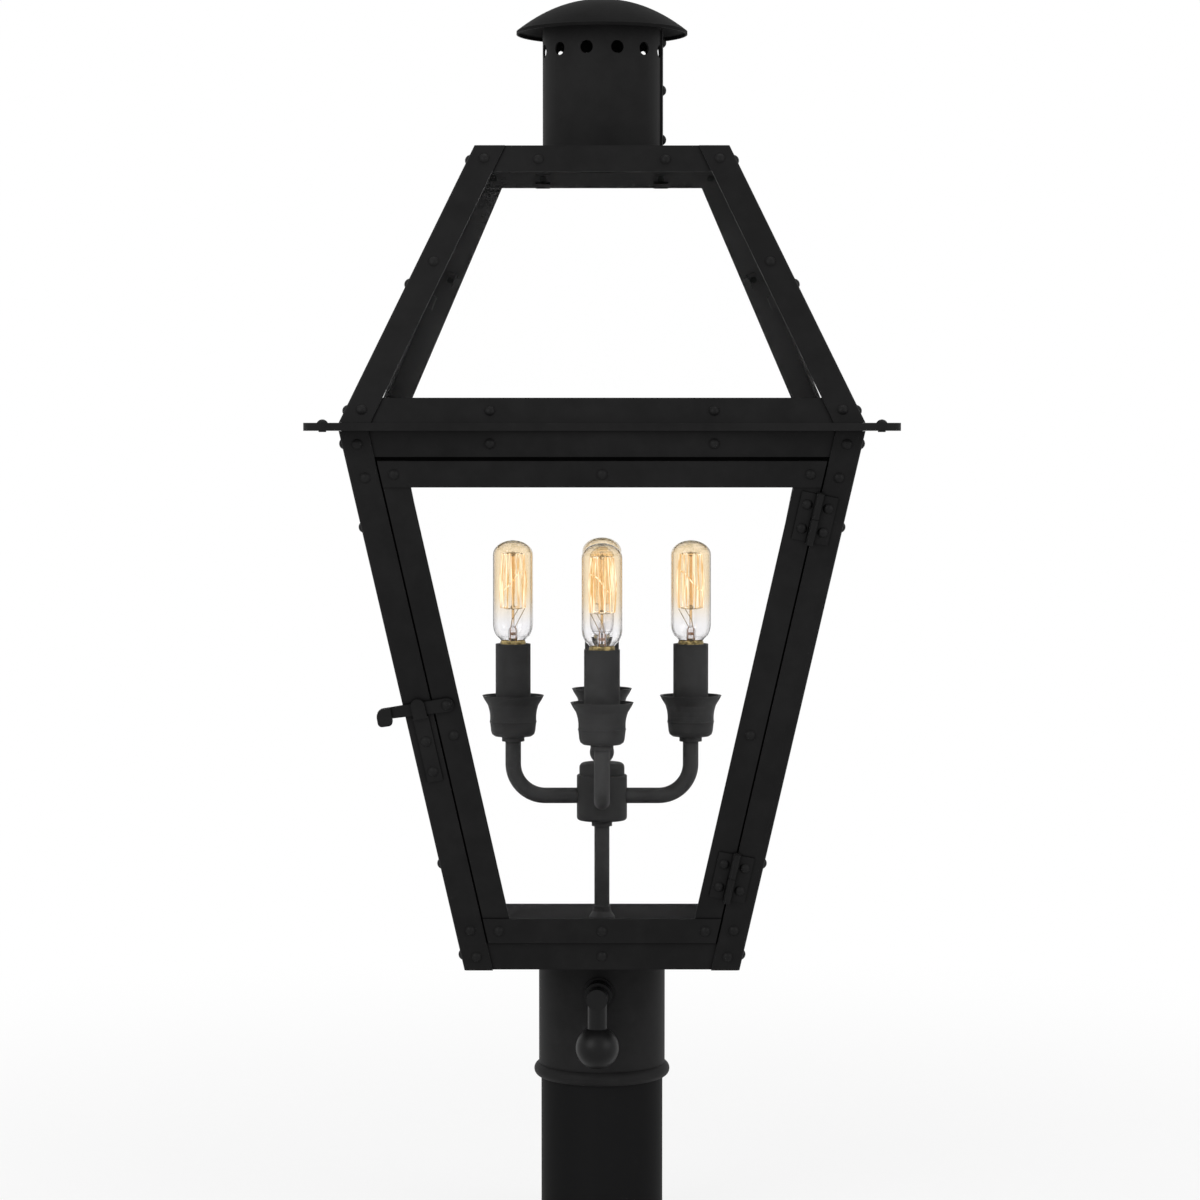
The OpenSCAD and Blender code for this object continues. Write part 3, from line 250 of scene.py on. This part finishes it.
class Finish:
    """One material, made of a principled shader and the nodes that feed it."""

    def __init__(self, name, **constants):
        self.material = bpy.data.materials.new(name)
        self.material.use_nodes = True
        self.tree = self.material.node_tree
        self.tree.nodes.clear()
        self.shader = self.add("ShaderNodeBsdfPrincipled", {}, constants)
        self.output = self.add("ShaderNodeOutputMaterial", {}, {})
        self.tree.links.new(self.shader.outputs[0], self.output.inputs["Surface"])
        self.place = self.node("ShaderNodeTexCoord", {}, {}, "Object")

    def add(self, kind, settings, inputs):
        node = self.tree.nodes.new(kind)
        for key, value in settings.items():
            setattr(node, key, value)
        for key, value in inputs.items():
            key = key.replace("_", " ") if isinstance(key, str) else key
            if isinstance(value, Link):
                self.tree.links.new(value.socket, node.inputs[key])
            else:
                node.inputs[key].default_value = value
        return node

    def node(self, kind, settings, inputs, output=0):
        return Link(self, self.add(kind, settings, inputs).outputs[output])

    def noise(self, scale, detail=3, rough=0.55, stretch=None, seed=0.0):
        vector = self.place if stretch is None else self.node(
            "ShaderNodeMapping", {}, {"Vector": self.place, "Scale": stretch})
        return self.node("ShaderNodeTexNoise", {"noise_dimensions": "4D"},
                         {"Vector": vector, "W": seed, "Scale": scale, "Detail": detail,
                          "Roughness": rough})

    def band(self, value, low, high):
        return self.node("ShaderNodeMapRange", {"interpolation_type": "SMOOTHSTEP"},
                         {"Value": value, "From Min": low, "From Max": high})

    def blend(self, factor, first, second):
        return self.node("ShaderNodeMix", {"data_type": "RGBA"},
                         {0: factor, 6: (*first, 1) if isinstance(first, tuple) else first,
                          7: (*second, 1) if isinstance(second, tuple) else second}, 2)

    def axis(self, name):
        return self.node("ShaderNodeSeparateXYZ", {}, {0: self.place}, name)

    def facing(self, name):
        normal = self.node("ShaderNodeTexCoord", {}, {}, "Normal")
        return self.node("ShaderNodeSeparateXYZ", {}, {0: normal}, name)

    def opening(self, reach):
        """How open a point is to its surroundings, from 0 deep in a crease to 1."""
        return self.node("ShaderNodeAmbientOcclusion", {"samples": CREASE_SAMPLES},
                         {"Distance": reach}, "AO")

    def feed(self, **links):
        for key, value in links.items():
            self.tree.links.new(value.socket, self.shader.inputs[key.replace("_", " ")])

    def bump(self, height, distance, strength):
        normal = self.node("ShaderNodeBump", {},
                           {"Height": height, "Distance": distance, "Strength": strength})
        self.feed(Normal=normal)


def shade(colour, factor):
    return tuple(c * factor for c in colour)


def swing(noise, amount):
    """The noise about its middle, so that it lightens as much as it darkens."""
    return (noise - 0.5) * amount


def coat(names, finish):
    """Gives every named CAD node one finish."""
    for name in names:
        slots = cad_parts[name].data.materials
        slots.clear()
        slots.append(finish.material)


def powder_coat(name, colour, roughness, sheen=0.08, grain=1.0, dust=0.05, inside=1.0):
    """Black powder coat: fine orange peel, cloudy sheen, a trace of dust on upward faces, and painted
    shade in creases.

    Faces towards the lantern's axis are painted lighter by the factor inside, as in the photo: painted
    light."""
    paint = Finish(name, Specular_IOR_Level=sheen)
    cloud = paint.noise(**CLOUD)
    mottle = paint.noise(**MOTTLE)
    peel = paint.noise(**PEEL)
    dimple = paint.noise(**DIMPLE)
    upward = paint.band(paint.facing("Z"), low=0.35, high=1.0)
    settled = upward * paint.band(paint.noise(**DUST), low=0.42, high=0.75)
    light = tuple(c * MOTTLE_SHADE + MOTTLE_LIFT for c in colour)
    base = paint.blend(paint.band(cloud * 0.6 + mottle * 0.4, low=0.35, high=0.68), colour, light)
    grey = (0.11, 0.105, 0.10)
    dusty = paint.blend(settled * dust, base, grey)
    # Painted shade: the paint darkens towards the crease factor where a point is closed in, in creases
    # and round rivets
    clear = paint.band(paint.opening(CREASE_REACH), low=0.35, high=0.9)
    shaded = paint.blend(clear, shade(colour, CREASE_PAINTED_SHADE), dusty)
    # Painted light: faces that look towards the lantern's axis are made lighter by the factor inside
    if inside > 1:
        outward = paint.axis("X") * paint.facing("X") + paint.axis("Y") * paint.facing("Y")
        inward = paint.band(outward, low=-0.01, high=-0.04)
        shaded = paint.blend(inward, shaded, shade(colour, inside))
    paint.feed(Base_Color=shaded,
               Roughness=roughness + swing(cloud, 0.16) + swing(mottle, 0.12) + settled * 0.1)
    paint.bump(peel * 0.5 + dimple, distance=0.00003, strength=0.55 * grain)
    return paint


# Shapes

def only(piece):
    """Selects one object and nothing else."""
    bpy.ops.object.select_all(action="DESELECT")
    piece.select_set(True)
    bpy.context.view_layer.objects.active = piece


def named(name):
    piece = bpy.context.object
    piece.name = name
    piece.data.name = name
    return piece


def settle(piece):
    """Puts the object's place into its mesh, so that the object sits at the origin."""
    only(piece)
    bpy.ops.object.transform_apply(location=True, rotation=True, scale=True)


def path(name, points):
    """A chain of edges through the points, drawn by extruding one vertex."""
    bpy.ops.object.select_all(action="DESELECT")
    bpy.ops.mesh.primitive_plane_add(size=SEED_SIZE, location=points[0])
    piece = named(name)
    bpy.ops.object.mode_set(mode="EDIT")
    bpy.ops.mesh.select_all(action="SELECT")
    bpy.ops.mesh.merge(type="CENTER")
    for start, end in zip(points, points[1:]):
        bpy.ops.mesh.extrude_vertices_move(
            TRANSFORM_OT_translate={"value": Vector(end) - Vector(start)})
    bpy.ops.object.mode_set(mode="OBJECT")
    settle(piece)
    return piece


def wire(name, points, radius, sides=3):
    """A round wire along the points."""
    piece = path(name, points)
    only(piece)
    bpy.ops.object.convert(target="CURVE")
    piece = bpy.context.object
    piece.data.bevel_depth = radius
    piece.data.bevel_resolution = sides
    piece.data.use_fill_caps = True
    bpy.ops.object.convert(target="MESH")
    piece = named(name)
    bpy.ops.object.shade_smooth_by_angle(angle=math.radians(WIRE_SMOOTHING))
    return piece


def turned(name, profile, steps=LATHE_STEPS):
    """A lathe-turned piece about the vertical through the origin, from (radius, height) pairs."""
    piece = path(name, [(r, 0, z) for r, z in profile])
    only(piece)
    bpy.ops.object.mode_set(mode="EDIT")
    bpy.ops.mesh.select_all(action="SELECT")
    bpy.ops.mesh.spin(steps=steps, angle=math.tau, center=(0, 0, 0), axis=(0, 0, 1))
    bpy.ops.mesh.select_all(action="SELECT")
    bpy.ops.mesh.remove_doubles(threshold=MERGE_REACH)
    bpy.ops.mesh.normals_make_consistent(inside=False)
    bpy.ops.object.mode_set(mode="OBJECT")
    bpy.ops.object.shade_smooth_by_angle(angle=math.radians(LATHE_SMOOTHING))
    return piece


def bead(name, z, radius, half):
    """A turned bead about the vertical through the origin, thickest at z."""
    side, end = radius * BEAD_ROUND, half * BEAD_ROUND
    profile = [(0, z - half), (side, z - end), (radius, z), (side, z + end), (0, z + half)]
    return turned(name, profile, BEAD_STEPS)


def join(name, pieces):
    bpy.ops.object.select_all(action="DESELECT")
    for piece in pieces:
        piece.select_set(True)
    bpy.context.view_layer.objects.active = pieces[0]
    bpy.ops.object.join()
    return named(name)


def around(radius, angle, z):
    return (radius * math.cos(angle), radius * math.sin(angle), z)


def share(piece, label):
    """Puts a turned copy of the piece on the axis of each of the four bulbs, and drops the original."""
    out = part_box("bulb_glasses")[1].x - BULB_RADIUS
    copies = []
    for i, turn in enumerate(BULB_TURNS):
        only(piece)
        bpy.ops.object.duplicate()
        copy = named(f"{label}_{i + 1}")
        copy.rotation_euler.z = math.radians(turn)
        copy.location = around(out, math.tau * i / len(BULB_TURNS), 0)
        settle(copy)
        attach(copy, "lantern")
        copies.append(copy)
    only(piece)
    bpy.ops.object.delete()
    return copies


def finish(piece, material):
    piece.data.materials.clear()
    piece.data.materials.append(material.material)


# What a user can set

class LanternLooks(bpy.types.PropertyGroup):
    """Colours and sizes of the lantern's finish"""

    frame_colour: bpy.props.FloatVectorProperty(
        name="Frame paint", description="Colour of the painted steel", subtype="COLOR",
        default=(0.0072, 0.0071, 0.0072), min=0, max=1)
    # Painted light: how much lighter the faces inside the lantern are painted
    inner_painted_light: bpy.props.FloatProperty(
        name="Inner shade", description="How many times as light the faces inside the lantern are",
        default=4.8, min=1, max=8)
    post_colour: bpy.props.FloatVectorProperty(
        name="Post paint", description="Colour of the post", subtype="COLOR",
        default=(0.0064, 0.0064, 0.0066), min=0, max=1)
    cluster_colour: bpy.props.FloatVectorProperty(
        name="Cluster paint", description="Colour of the arms and cups", subtype="COLOR",
        default=(0.0212, 0.021, 0.0212), min=0, max=1)
    amber: bpy.props.FloatVectorProperty(
        name="Bulb tint", description="Colour of the bulbs' glass at the top", subtype="COLOR",
        default=(0.955, 0.855, 0.69), min=0, max=1)
    wire_radius: bpy.props.FloatProperty(
        name="Filament radius", description="Radius of the glowing filament", unit="LENGTH",
        default=0.00042, min=0.0001, max=0.001)
    hairpins: bpy.props.IntProperty(
        name="Hairpins", description="Number of filament loops in a bulb", default=7, min=4, max=12)


# Operators

class LANTERN_OT_studio(bpy.types.Operator):
    """Sets the white studio, its soft lamps, the floor and the camera"""

    bl_idname = "lantern.studio"
    bl_label = "Studio"

    def execute(self, context):
        scene = context.scene
        scene.view_settings.view_transform = "Standard"
        world = bpy.data.worlds.new("Studio")
        scene.world = world
        world.use_nodes = True
        tree = world.node_tree
        tree.nodes.clear()
        path_kind = tree.nodes.new("ShaderNodeLightPath")
        level = self.seen(tree, path_kind, unseen=SKY_LIGHT, seen=1.0)
        sky = tree.nodes.new("ShaderNodeBackground")
        sky.inputs["Color"].default_value = (1, 1, 1, 1)
        tree.links.new(level, sky.inputs["Strength"])
        output = tree.nodes.new("ShaderNodeOutputWorld")
        tree.links.new(sky.outputs[0], output.inputs["Surface"])
        self.floor()
        for name, setting in LAMPS.items():
            self.lamp(name, **setting)
        bpy.ops.object.camera_add(
            location=(CAMERA_X, -CAMERA_DISTANCE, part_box("rim_plate")[0].z + CAMERA_RISE),
            rotation=(math.radians(90 - CAMERA_TILT), 0, 0))
        camera = context.object
        camera.name = "Photo camera"
        camera.data.lens = LENS
        camera.data.sensor_width = SENSOR_WIDTH
        camera.data.clip_end = VIEW_REACH
        scene.camera = camera
        return {"FINISHED"}

    @staticmethod
    def seen(tree, path_kind, unseen, seen):
        """A strength of one value for what is seen or mirrored, and another for the rest."""
        total = path_kind.outputs["Is Camera Ray"]
        for other in ("Is Glossy Ray", "Is Transmission Ray"):
            either = tree.nodes.new("ShaderNodeMath")
            either.operation = "MAXIMUM"
            tree.links.new(total, either.inputs[0])
            tree.links.new(path_kind.outputs[other], either.inputs[1])
            total = either.outputs[0]
        level = tree.nodes.new("ShaderNodeMapRange")
        level.inputs["To Min"].default_value = unseen
        level.inputs["To Max"].default_value = seen
        tree.links.new(total, level.inputs["Value"])
        return level.outputs[0]

    def floor(self):
        bpy.ops.object.select_all(action="DESELECT")
        bpy.ops.mesh.primitive_circle_add(
            vertices=FLOOR_SIDES, radius=FLOOR_RADIUS, fill_type="NGON", location=(0, 0, 0))
        floor = named("Studio floor")
        pale = Finish("Pale floor", Roughness=0.95, Specular_IOR_Level=0.1)
        dull, bright = (0.86, 0.86, 0.86), (0.9, 0.9, 0.9)
        pale.feed(Base_Color=pale.blend(pale.noise(**FLOOR_GRAIN), dull, bright))
        glow = pale.add("ShaderNodeEmission", {}, {"Color": (1, 1, 1, 1), "Strength": 1.0})
        x, y = pale.axis("X"), pale.axis("Y")
        far = pale.band((x * x + y * y) ** 0.5, *FLOOR_FADE)
        kinds = pale.add("ShaderNodeLightPath", {}, {})
        seen = Link(pale, self.seen(pale.tree, kinds, unseen=0.0, seen=1.0))
        strength = FLOOR_GLOW_NEAR + (1 - FLOOR_GLOW_NEAR) * far
        mixer = pale.add("ShaderNodeMixShader", {}, {0: seen * strength})
        pale.tree.links.new(pale.shader.outputs[0], mixer.inputs[1])
        pale.tree.links.new(glow.outputs[0], mixer.inputs[2])
        pale.tree.links.new(mixer.outputs[0], pale.output.inputs["Surface"])
        finish(floor, pale)

    @staticmethod
    def lamp(name, place, size, power):
        aim = Vector(LAMP_AIM) - Vector(place)
        bpy.ops.object.light_add(type="AREA", location=place,
                                 rotation=aim.to_track_quat("-Z", "Y").to_euler())
        lamp = bpy.context.object
        lamp.name = name
        lamp.data.shape = "SQUARE"
        lamp.data.size = size
        lamp.data.energy = power


class LANTERN_OT_frame_paint(bpy.types.Operator):
    """Paints the bars, rails, door, rivets and fittings"""

    bl_idname = "lantern.frame_paint"
    bl_label = "Frame paint"

    def execute(self, context):
        looks = context.scene.lantern_looks
        colour = tuple(looks.frame_colour)
        coats = [
            (STRIPS, "strip", 1, {"roughness": 0.56, "inside": looks.inner_painted_light}),
            # Painted shade: the door stops are painted near black for the shade in the gaps round the
            # door
            (["door_stops"], "door stops", STOP_PAINTED_SHADE, {"roughness": 0.75, "sheen": 0.02}),
            (RIVETS, "rivets", 1, {"roughness": 0.5, "sheen": 0.1, "grain": 0.6}),
            (FITTINGS, "fittings", 1, {"roughness": 0.52, "sheen": 0.09, "grain": 0.8}),
            # Painted light: the chimney and fitter are the frame paint made lighter by their factors
            (["chimney_tube"], "chimney", CHIMNEY_PAINTED_LIGHT, {"roughness": 0.6}),
            (FITTER, "fitter", FITTER_PAINTED_LIGHT, {"roughness": 0.6}),
        ]
        for names, label, factor, settings in coats:
            coat(names, powder_coat("Powder coat on " + label, shade(colour, factor), **settings))
        return {"FINISHED"}


class LANTERN_OT_cap_paint(bpy.types.Operator):
    """Paints the spun chimney cap, with the faint rings of the spinning under the paint"""

    bl_idname = "lantern.cap_paint"
    bl_label = "Cap paint"

    def execute(self, context):
        colour = tuple(context.scene.lantern_looks.frame_colour)
        # Painted shade: the cap is the frame paint made darker by its factor
        cap = powder_coat("Powder coat on spun cap", shade(colour, CAP_PAINTED_SHADE),
                          roughness=0.62, sheen=0.03, dust=0.01)
        x, y = cap.axis("X"), cap.axis("Y")
        radius = (x * x + y * y) ** 0.5
        ring = cap.node("ShaderNodeMath", {"operation": "SINE"}, {0: radius * CAP_RINGS})
        cap.bump(ring * 0.3 + cap.noise(**CAP_PEEL), distance=0.00003, strength=0.5)
        coat(["chimney_cap"], cap)
        return {"FINISHED"}


class LANTERN_OT_post_paint(bpy.types.Operator):
    """Paints the post and the dummy tap in a smoother black"""

    bl_idname = "lantern.post_paint"
    bl_label = "Post paint"

    def execute(self, context):
        colour = tuple(context.scene.lantern_looks.post_colour)
        gloss = Finish("Smooth post enamel", Specular_IOR_Level=0.03)
        cloud = gloss.noise(**POST_CLOUD)
        scuff = gloss.band(gloss.noise(**POST_SCUFF), low=0.62, high=0.8)
        gloss.feed(Base_Color=gloss.blend(cloud, colour, shade(colour, POST_CLOUD_SHADE)),
                   Roughness=0.6 + swing(cloud, 0.1) + scuff * 0.12)
        gloss.bump(gloss.noise(**POST_PEEL) + gloss.noise(**POST_DRAW), distance=0.00002, strength=0.5)
        coat(["post"], gloss)
        # Painted shade: the tap is the post paint made darker by its factor
        coat(TAP, powder_coat("Enamel on tap", shade(colour, TAP_PAINTED_SHADE),
                              roughness=0.4, sheen=0.16, grain=0.4))
        return {"FINISHED"}


class LANTERN_OT_glaze(bpy.types.Operator):
    """Makes the panes clear glass, faintly wavy and smudged"""

    bl_idname = "lantern.glaze"
    bl_label = "Glaze"

    def execute(self, context):
        glass = Finish("Clear pane glass", Transmission_Weight=1.0, IOR=1.0, Alpha=0.14,
                       Coat_IOR=1.3, Coat_Roughness=0.02)
        smudge = glass.band(glass.noise(**PANE_SMUDGE), low=0.55, high=0.8)
        greasy = smudge * glass.noise(**PANE_STREAK)
        clean, smudged = (1.0, 1.0, 1.0), (0.985, 0.99, 0.988)
        glass.feed(Base_Color=glass.blend(smudge * 0.5, clean, smudged), Roughness=greasy * 0.03,
                   Coat_Weight=0.25 + greasy * 0.2)
        glass.bump(glass.noise(**PANE_WAVE), distance=0.0002, strength=0.1)
        coat(PANES, glass)
        return {"FINISHED"}


class LANTERN_OT_cluster_paint(bpy.types.Operator):
    """Paints the arms, cups and sleeves of the candle cluster"""

    bl_idname = "lantern.cluster_paint"
    bl_label = "Cluster paint"

    def execute(self, context):
        colour = tuple(context.scene.lantern_looks.cluster_colour)
        # Painted light: each part of the cluster is the one cluster paint made lighter by its own factor
        for part, factor in CLUSTER_PAINTED_LIGHT.items():
            coat([part], powder_coat("Satin black on " + part, shade(colour, factor),
                                     roughness=0.55, sheen=0.1, grain=0.7))
        coat(SLEEVES, powder_coat("Matt black on sleeves", shade(colour, SLEEVE_SHADE),
                                  roughness=0.65, sheen=0.1))
        steel = Finish("Blackened pin steel", Metallic=0.9)
        grain = steel.noise(**PIN_GRAIN)
        dark, worn = (0.045, 0.044, 0.043), (0.1, 0.098, 0.094)
        steel.feed(Base_Color=steel.blend(grain, dark, worn), Roughness=0.34 + grain * 0.2)
        steel.bump(grain, distance=0.00003, strength=0.4)
        coat(["hinge_pins"], steel)
        return {"FINISHED"}


class LANTERN_OT_bulbs(bpy.types.Operator):
    """Tints the bulbs amber towards the top, paints shade on their rims where the glass is seen edge-on,
    and gives their bases dull brass
    """

    bl_idname = "lantern.bulbs"
    bl_label = "Bulbs"

    def execute(self, context):
        low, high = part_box("bulb_glasses")
        tint = Finish("Amber bulb glass", Transmission_Weight=1.0, IOR=1.45, Specular_IOR_Level=0.3)
        height = tint.axis("Z")
        rise = tint.band(height, low.z + TINT_FOOT_RISE, low.z + TINT_TOP_RISE)
        drift = swing(tint.noise(**TINT_DRIFT), 0.2)
        seal = tint.band(height, high.z - SEAL_FOOT_DROP, high.z - SEAL_TOP_DROP)
        untinted, amber = (0.95, 0.945, 0.955), tuple(context.scene.lantern_looks.amber)
        clear = tint.blend(rise + drift, untinted, amber)
        # Painted shade: where the glass is seen edge-on its colour darkens to grey below and brown above,
        # for the dark surroundings seen through its rim
        edge = tint.node("ShaderNodeLayerWeight", {}, {"Blend": 0.5}, "Facing")
        grey_rim_shade, brown_rim_shade, seal_amber = (0.27, 0.26, 0.25), (0.33, 0.24, 0.13), (0.52, 0.43, 0.24)
        deep = tint.blend(rise, grey_rim_shade, brown_rim_shade)
        rim_shaded = tint.blend(tint.band(edge, low=0.34, high=0.92), clear, deep)
        film = tint.band(tint.noise(**BULB_FILM), low=0.55, high=0.85)
        tint.feed(Base_Color=tint.blend(seal * 0.9, rim_shaded, seal_amber), Roughness=film * 0.02)
        tint.bump(tint.noise(**BULB_WAVE), distance=0.00004, strength=0.2)
        coat(["bulb_glasses"], tint)
        brass = Finish("Dull brass", Metallic=1.0)
        stain = brass.band(brass.noise(**BRASS_STAIN), low=0.35, high=0.65)
        dull, bright = (0.10, 0.078, 0.035), (0.56, 0.43, 0.19)
        brass.feed(Base_Color=brass.blend(stain, dull, bright), Roughness=0.3 + stain * 0.2)
        brass.bump(brass.noise(**BRASS_GRAIN), distance=0.00002, strength=0.4)
        coat(["bulb_bases"], brass)
        self.collars(low.z, brass)
        return {"FINISHED"}

    @staticmethod
    def collars(foot, brass):
        """The turned-out edge of the brass base, which grips the neck of the glass"""
        ring = turned("collar", [(COLLAR_RADIUS + out, foot + rise) for out, rise in COLLAR_OUTLINE])
        finish(ring, brass)
        share(ring, "bulb_collar")


class LANTERN_OT_filaments(bpy.types.Operator):
    """Hangs the cage of filament, painted to glow, on its glass rod, stem and lead wires in each bulb"""

    bl_idname = "lantern.filaments"
    bl_label = "Filaments"

    def execute(self, context):
        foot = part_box("bulb_filaments")[0].z
        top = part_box("bulb_filaments")[1].z - CAGE_DROP
        end = top - CAGE_HEIGHT
        parts = {
            "filament_wire": (self.cage(context.scene.lantern_looks, end, top), self.glow()),
            "filament_hooks": (self.supports(foot, end, top), self.bronze(foot)),
            "filament_stem": (self.stem(foot, top), self.clear(foot)),
        }
        for label, (piece, material) in parts.items():
            finish(piece, material)
            for copy in share(piece, label):
                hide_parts("bulb_filaments")
        return {"FINISHED"}

    @staticmethod
    def cage(looks, end, top):
        """Hairpins that zigzag between the hooks at the two ends, and a slack strand across them"""
        points = []
        middle = (top + end) / 2
        count = looks.hairpins * 2
        for i in range(count):
            angle = math.tau * i / count
            waist = CAGE_WAIST_RADIUS + CAGE_SLACK * math.sin(CAGE_SLACK_WAVES * angle + 1)
            rise = [(CAGE_TOP_RADIUS, top), (waist, middle), (CAGE_FOOT_RADIUS, end)]
            if i % 2:
                rise.reverse()
            for j, (radius, z) in enumerate(rise):
                sway = CAGE_SWAY * math.sin(CAGE_SWAY_WAVES * i + j)
                points.append(around(radius, angle + sway, z))
        reach = CAGE_WAIST_RADIUS * SLACK_REACH
        across = []
        for i in range(-SLACK_STEPS, SLACK_STEPS + 1):
            part = i / SLACK_STEPS
            lift = SLACK_RISE * math.sin(part * math.pi / 2)
            across.append((reach * part, SLACK_BOW * (1 - part ** 2), middle + lift))
        return join("strands", [wire("strand", points, looks.wire_radius),
                                wire("slack strand", across, looks.wire_radius)])

    @staticmethod
    def supports(foot, end, top):
        """The hooks at both ends of the rod, their knobs, the lead wires and the crimp in the stem"""
        pieces = []
        for z, droop, radius in ((top, HOOK_DROOP_TOP, CAGE_TOP_RADIUS),
                                 (end, HOOK_DROOP_FOOT, CAGE_FOOT_RADIUS)):
            for i in range(HOOK_COUNT):
                angle = math.tau * (i + HOOK_OFFSET) / HOOK_COUNT
                bent = [around(ROD_RADIUS, angle, z - droop), around(radius / 2, angle, z - droop),
                        around(radius, angle, z)]
                pieces.append(wire("hook", bent, HOOK_RADIUS, FINE_SIDES))
            pieces.append(bead("knob", z, KNOB_RADIUS, KNOB_HALF))
        neck = foot + STEM_HEIGHT
        for lead in LEADS:
            start = lead["side"] * LEAD_START
            bends = [(start, 0, foot + LEAD_FOOT_RISE), (start, 0, neck),
                     (start + lead["elbow"], LEAD_ELBOW_DEPTH, neck + LEAD_ELBOW_RISE),
                     (lead["reach"], LEAD_TOP_DEPTH, end - LEAD_TOP_DROP)]
            pieces.append(wire("lead", bends, LEAD_RADIUS, FINE_SIDES))
        pieces.append(bead("crimp", foot + CRIMP_RISE, CRIMP_RADIUS, CRIMP_HALF))
        return join("hooks", pieces)

    @staticmethod
    def stem(foot, top):
        """The glass stem with its rounded head, and the rod that carries the hooks"""
        head = foot + STEM_HEIGHT
        outline = [(STEM_RADIUS * part, foot + rise) for part, rise in STEM_FOOT_OUTLINE]
        outline += [(STEM_RADIUS * part, head - drop) for part, drop in STEM_HEAD_OUTLINE]
        outline += [(ROD_RADIUS * ROD_FILLET, head), (ROD_RADIUS, head + ROD_FILLET_RISE),
                    (ROD_RADIUS, top - ROD_SHOULDER_DROP), (0, top - ROD_TIP_DROP)]
        return turned("stem", outline, STEM_STEPS)

    @staticmethod
    def glow():
        """Wire with a painted glow in streaks, from orange to nearly white"""
        glow = Finish("Filament with painted glow", Emission_Strength=1.0)
        glow_streaks = glow.band(glow.noise(**GLOW_STREAKS), low=0.44, high=0.6)
        brown, tan = (0.30, 0.16, 0.05), (0.7, 0.64, 0.5)
        orange, white = (0.72, 0.48, 0.20), (1.0, 0.97, 0.86)
        glow.feed(Base_Color=glow.blend(glow_streaks, brown, tan), Emission_Color=glow.blend(glow_streaks, orange, white),
                  Roughness=0.4 + glow_streaks * 0.2)
        glow.bump(glow_streaks, distance=0.00002, strength=0.3)
        return glow

    @staticmethod
    def bronze(foot):
        """Bronze hooks, turning to copper brown where the leads run through the stem, with a faint
        painted glow of their own colour
        """
        metal = Finish("Bronze support wire", Metallic=0.2, Emission_Strength=0.12)
        tarnish = metal.noise(**TARNISH)
        high = metal.band(metal.axis("Z"), foot + STEM_HEIGHT * 0.8, foot + STEM_HEIGHT * 1.3)
        dark_copper, copper = (0.36, 0.13, 0.04), (0.58, 0.29, 0.10)
        dark_bronze, bronze = (0.20, 0.13, 0.05), (0.54, 0.39, 0.17)
        colour = metal.blend(high, metal.blend(tarnish, dark_copper, copper),
                             metal.blend(tarnish, dark_bronze, bronze))
        metal.feed(Base_Color=colour, Emission_Color=colour, Roughness=0.35 + tarnish * 0.2)
        metal.bump(tarnish, distance=0.00002, strength=0.3)
        return metal

    @staticmethod
    def clear(foot):
        """Clear glass at the stem, amber along the rod"""
        stem = Finish("Stem glass", Transmission_Weight=0.95, IOR=1.33, Specular_IOR_Level=0.5)
        seed = stem.noise(**STEM_SEED)
        warm = stem.band(stem.axis("Z"), foot + STEM_HEIGHT, foot + STEM_HEIGHT * 1.8)
        clear, cloudy, amber = (0.94, 0.92, 0.92), (0.84, 0.80, 0.79), (0.86, 0.58, 0.26)
        stem.feed(Base_Color=stem.blend(warm, stem.blend(seed, clear, cloudy), amber),
                  Roughness=0.02 + seed * 0.05)
        stem.bump(seed, distance=0.00004, strength=0.3)
        return stem


STEPS = [LANTERN_OT_studio, LANTERN_OT_frame_paint, LANTERN_OT_cap_paint, LANTERN_OT_post_paint,
         LANTERN_OT_glaze, LANTERN_OT_cluster_paint, LANTERN_OT_bulbs, LANTERN_OT_filaments]


class LANTERN_PT_panel(bpy.types.Panel):
    """Lists the lantern's steps in the sidebar"""

    bl_idname = "LANTERN_PT_panel"
    bl_label = "Lantern"
    bl_space_type = "VIEW_3D"
    bl_region_type = "UI"
    bl_category = "Lantern"

    def draw(self, context):
        looks = context.scene.lantern_looks
        for name in looks.__annotations__:
            self.layout.prop(looks, name)
        for step in STEPS:
            self.layout.operator(step.bl_idname)


CLASSES = [LanternLooks, *STEPS, LANTERN_PT_panel]


def register():
    for cls in CLASSES:
        bpy.utils.register_class(cls)
    bpy.types.Scene.lantern_looks = bpy.props.PointerProperty(type=LanternLooks)


def unregister():
    del bpy.types.Scene.lantern_looks
    for cls in reversed(CLASSES):
        bpy.utils.unregister_class(cls)


def main():
    register()
    for step in STEPS:
        group, name = step.bl_idname.split(".")
        getattr(getattr(bpy.ops, group), name)()


if __name__ == "__main__":
    main()
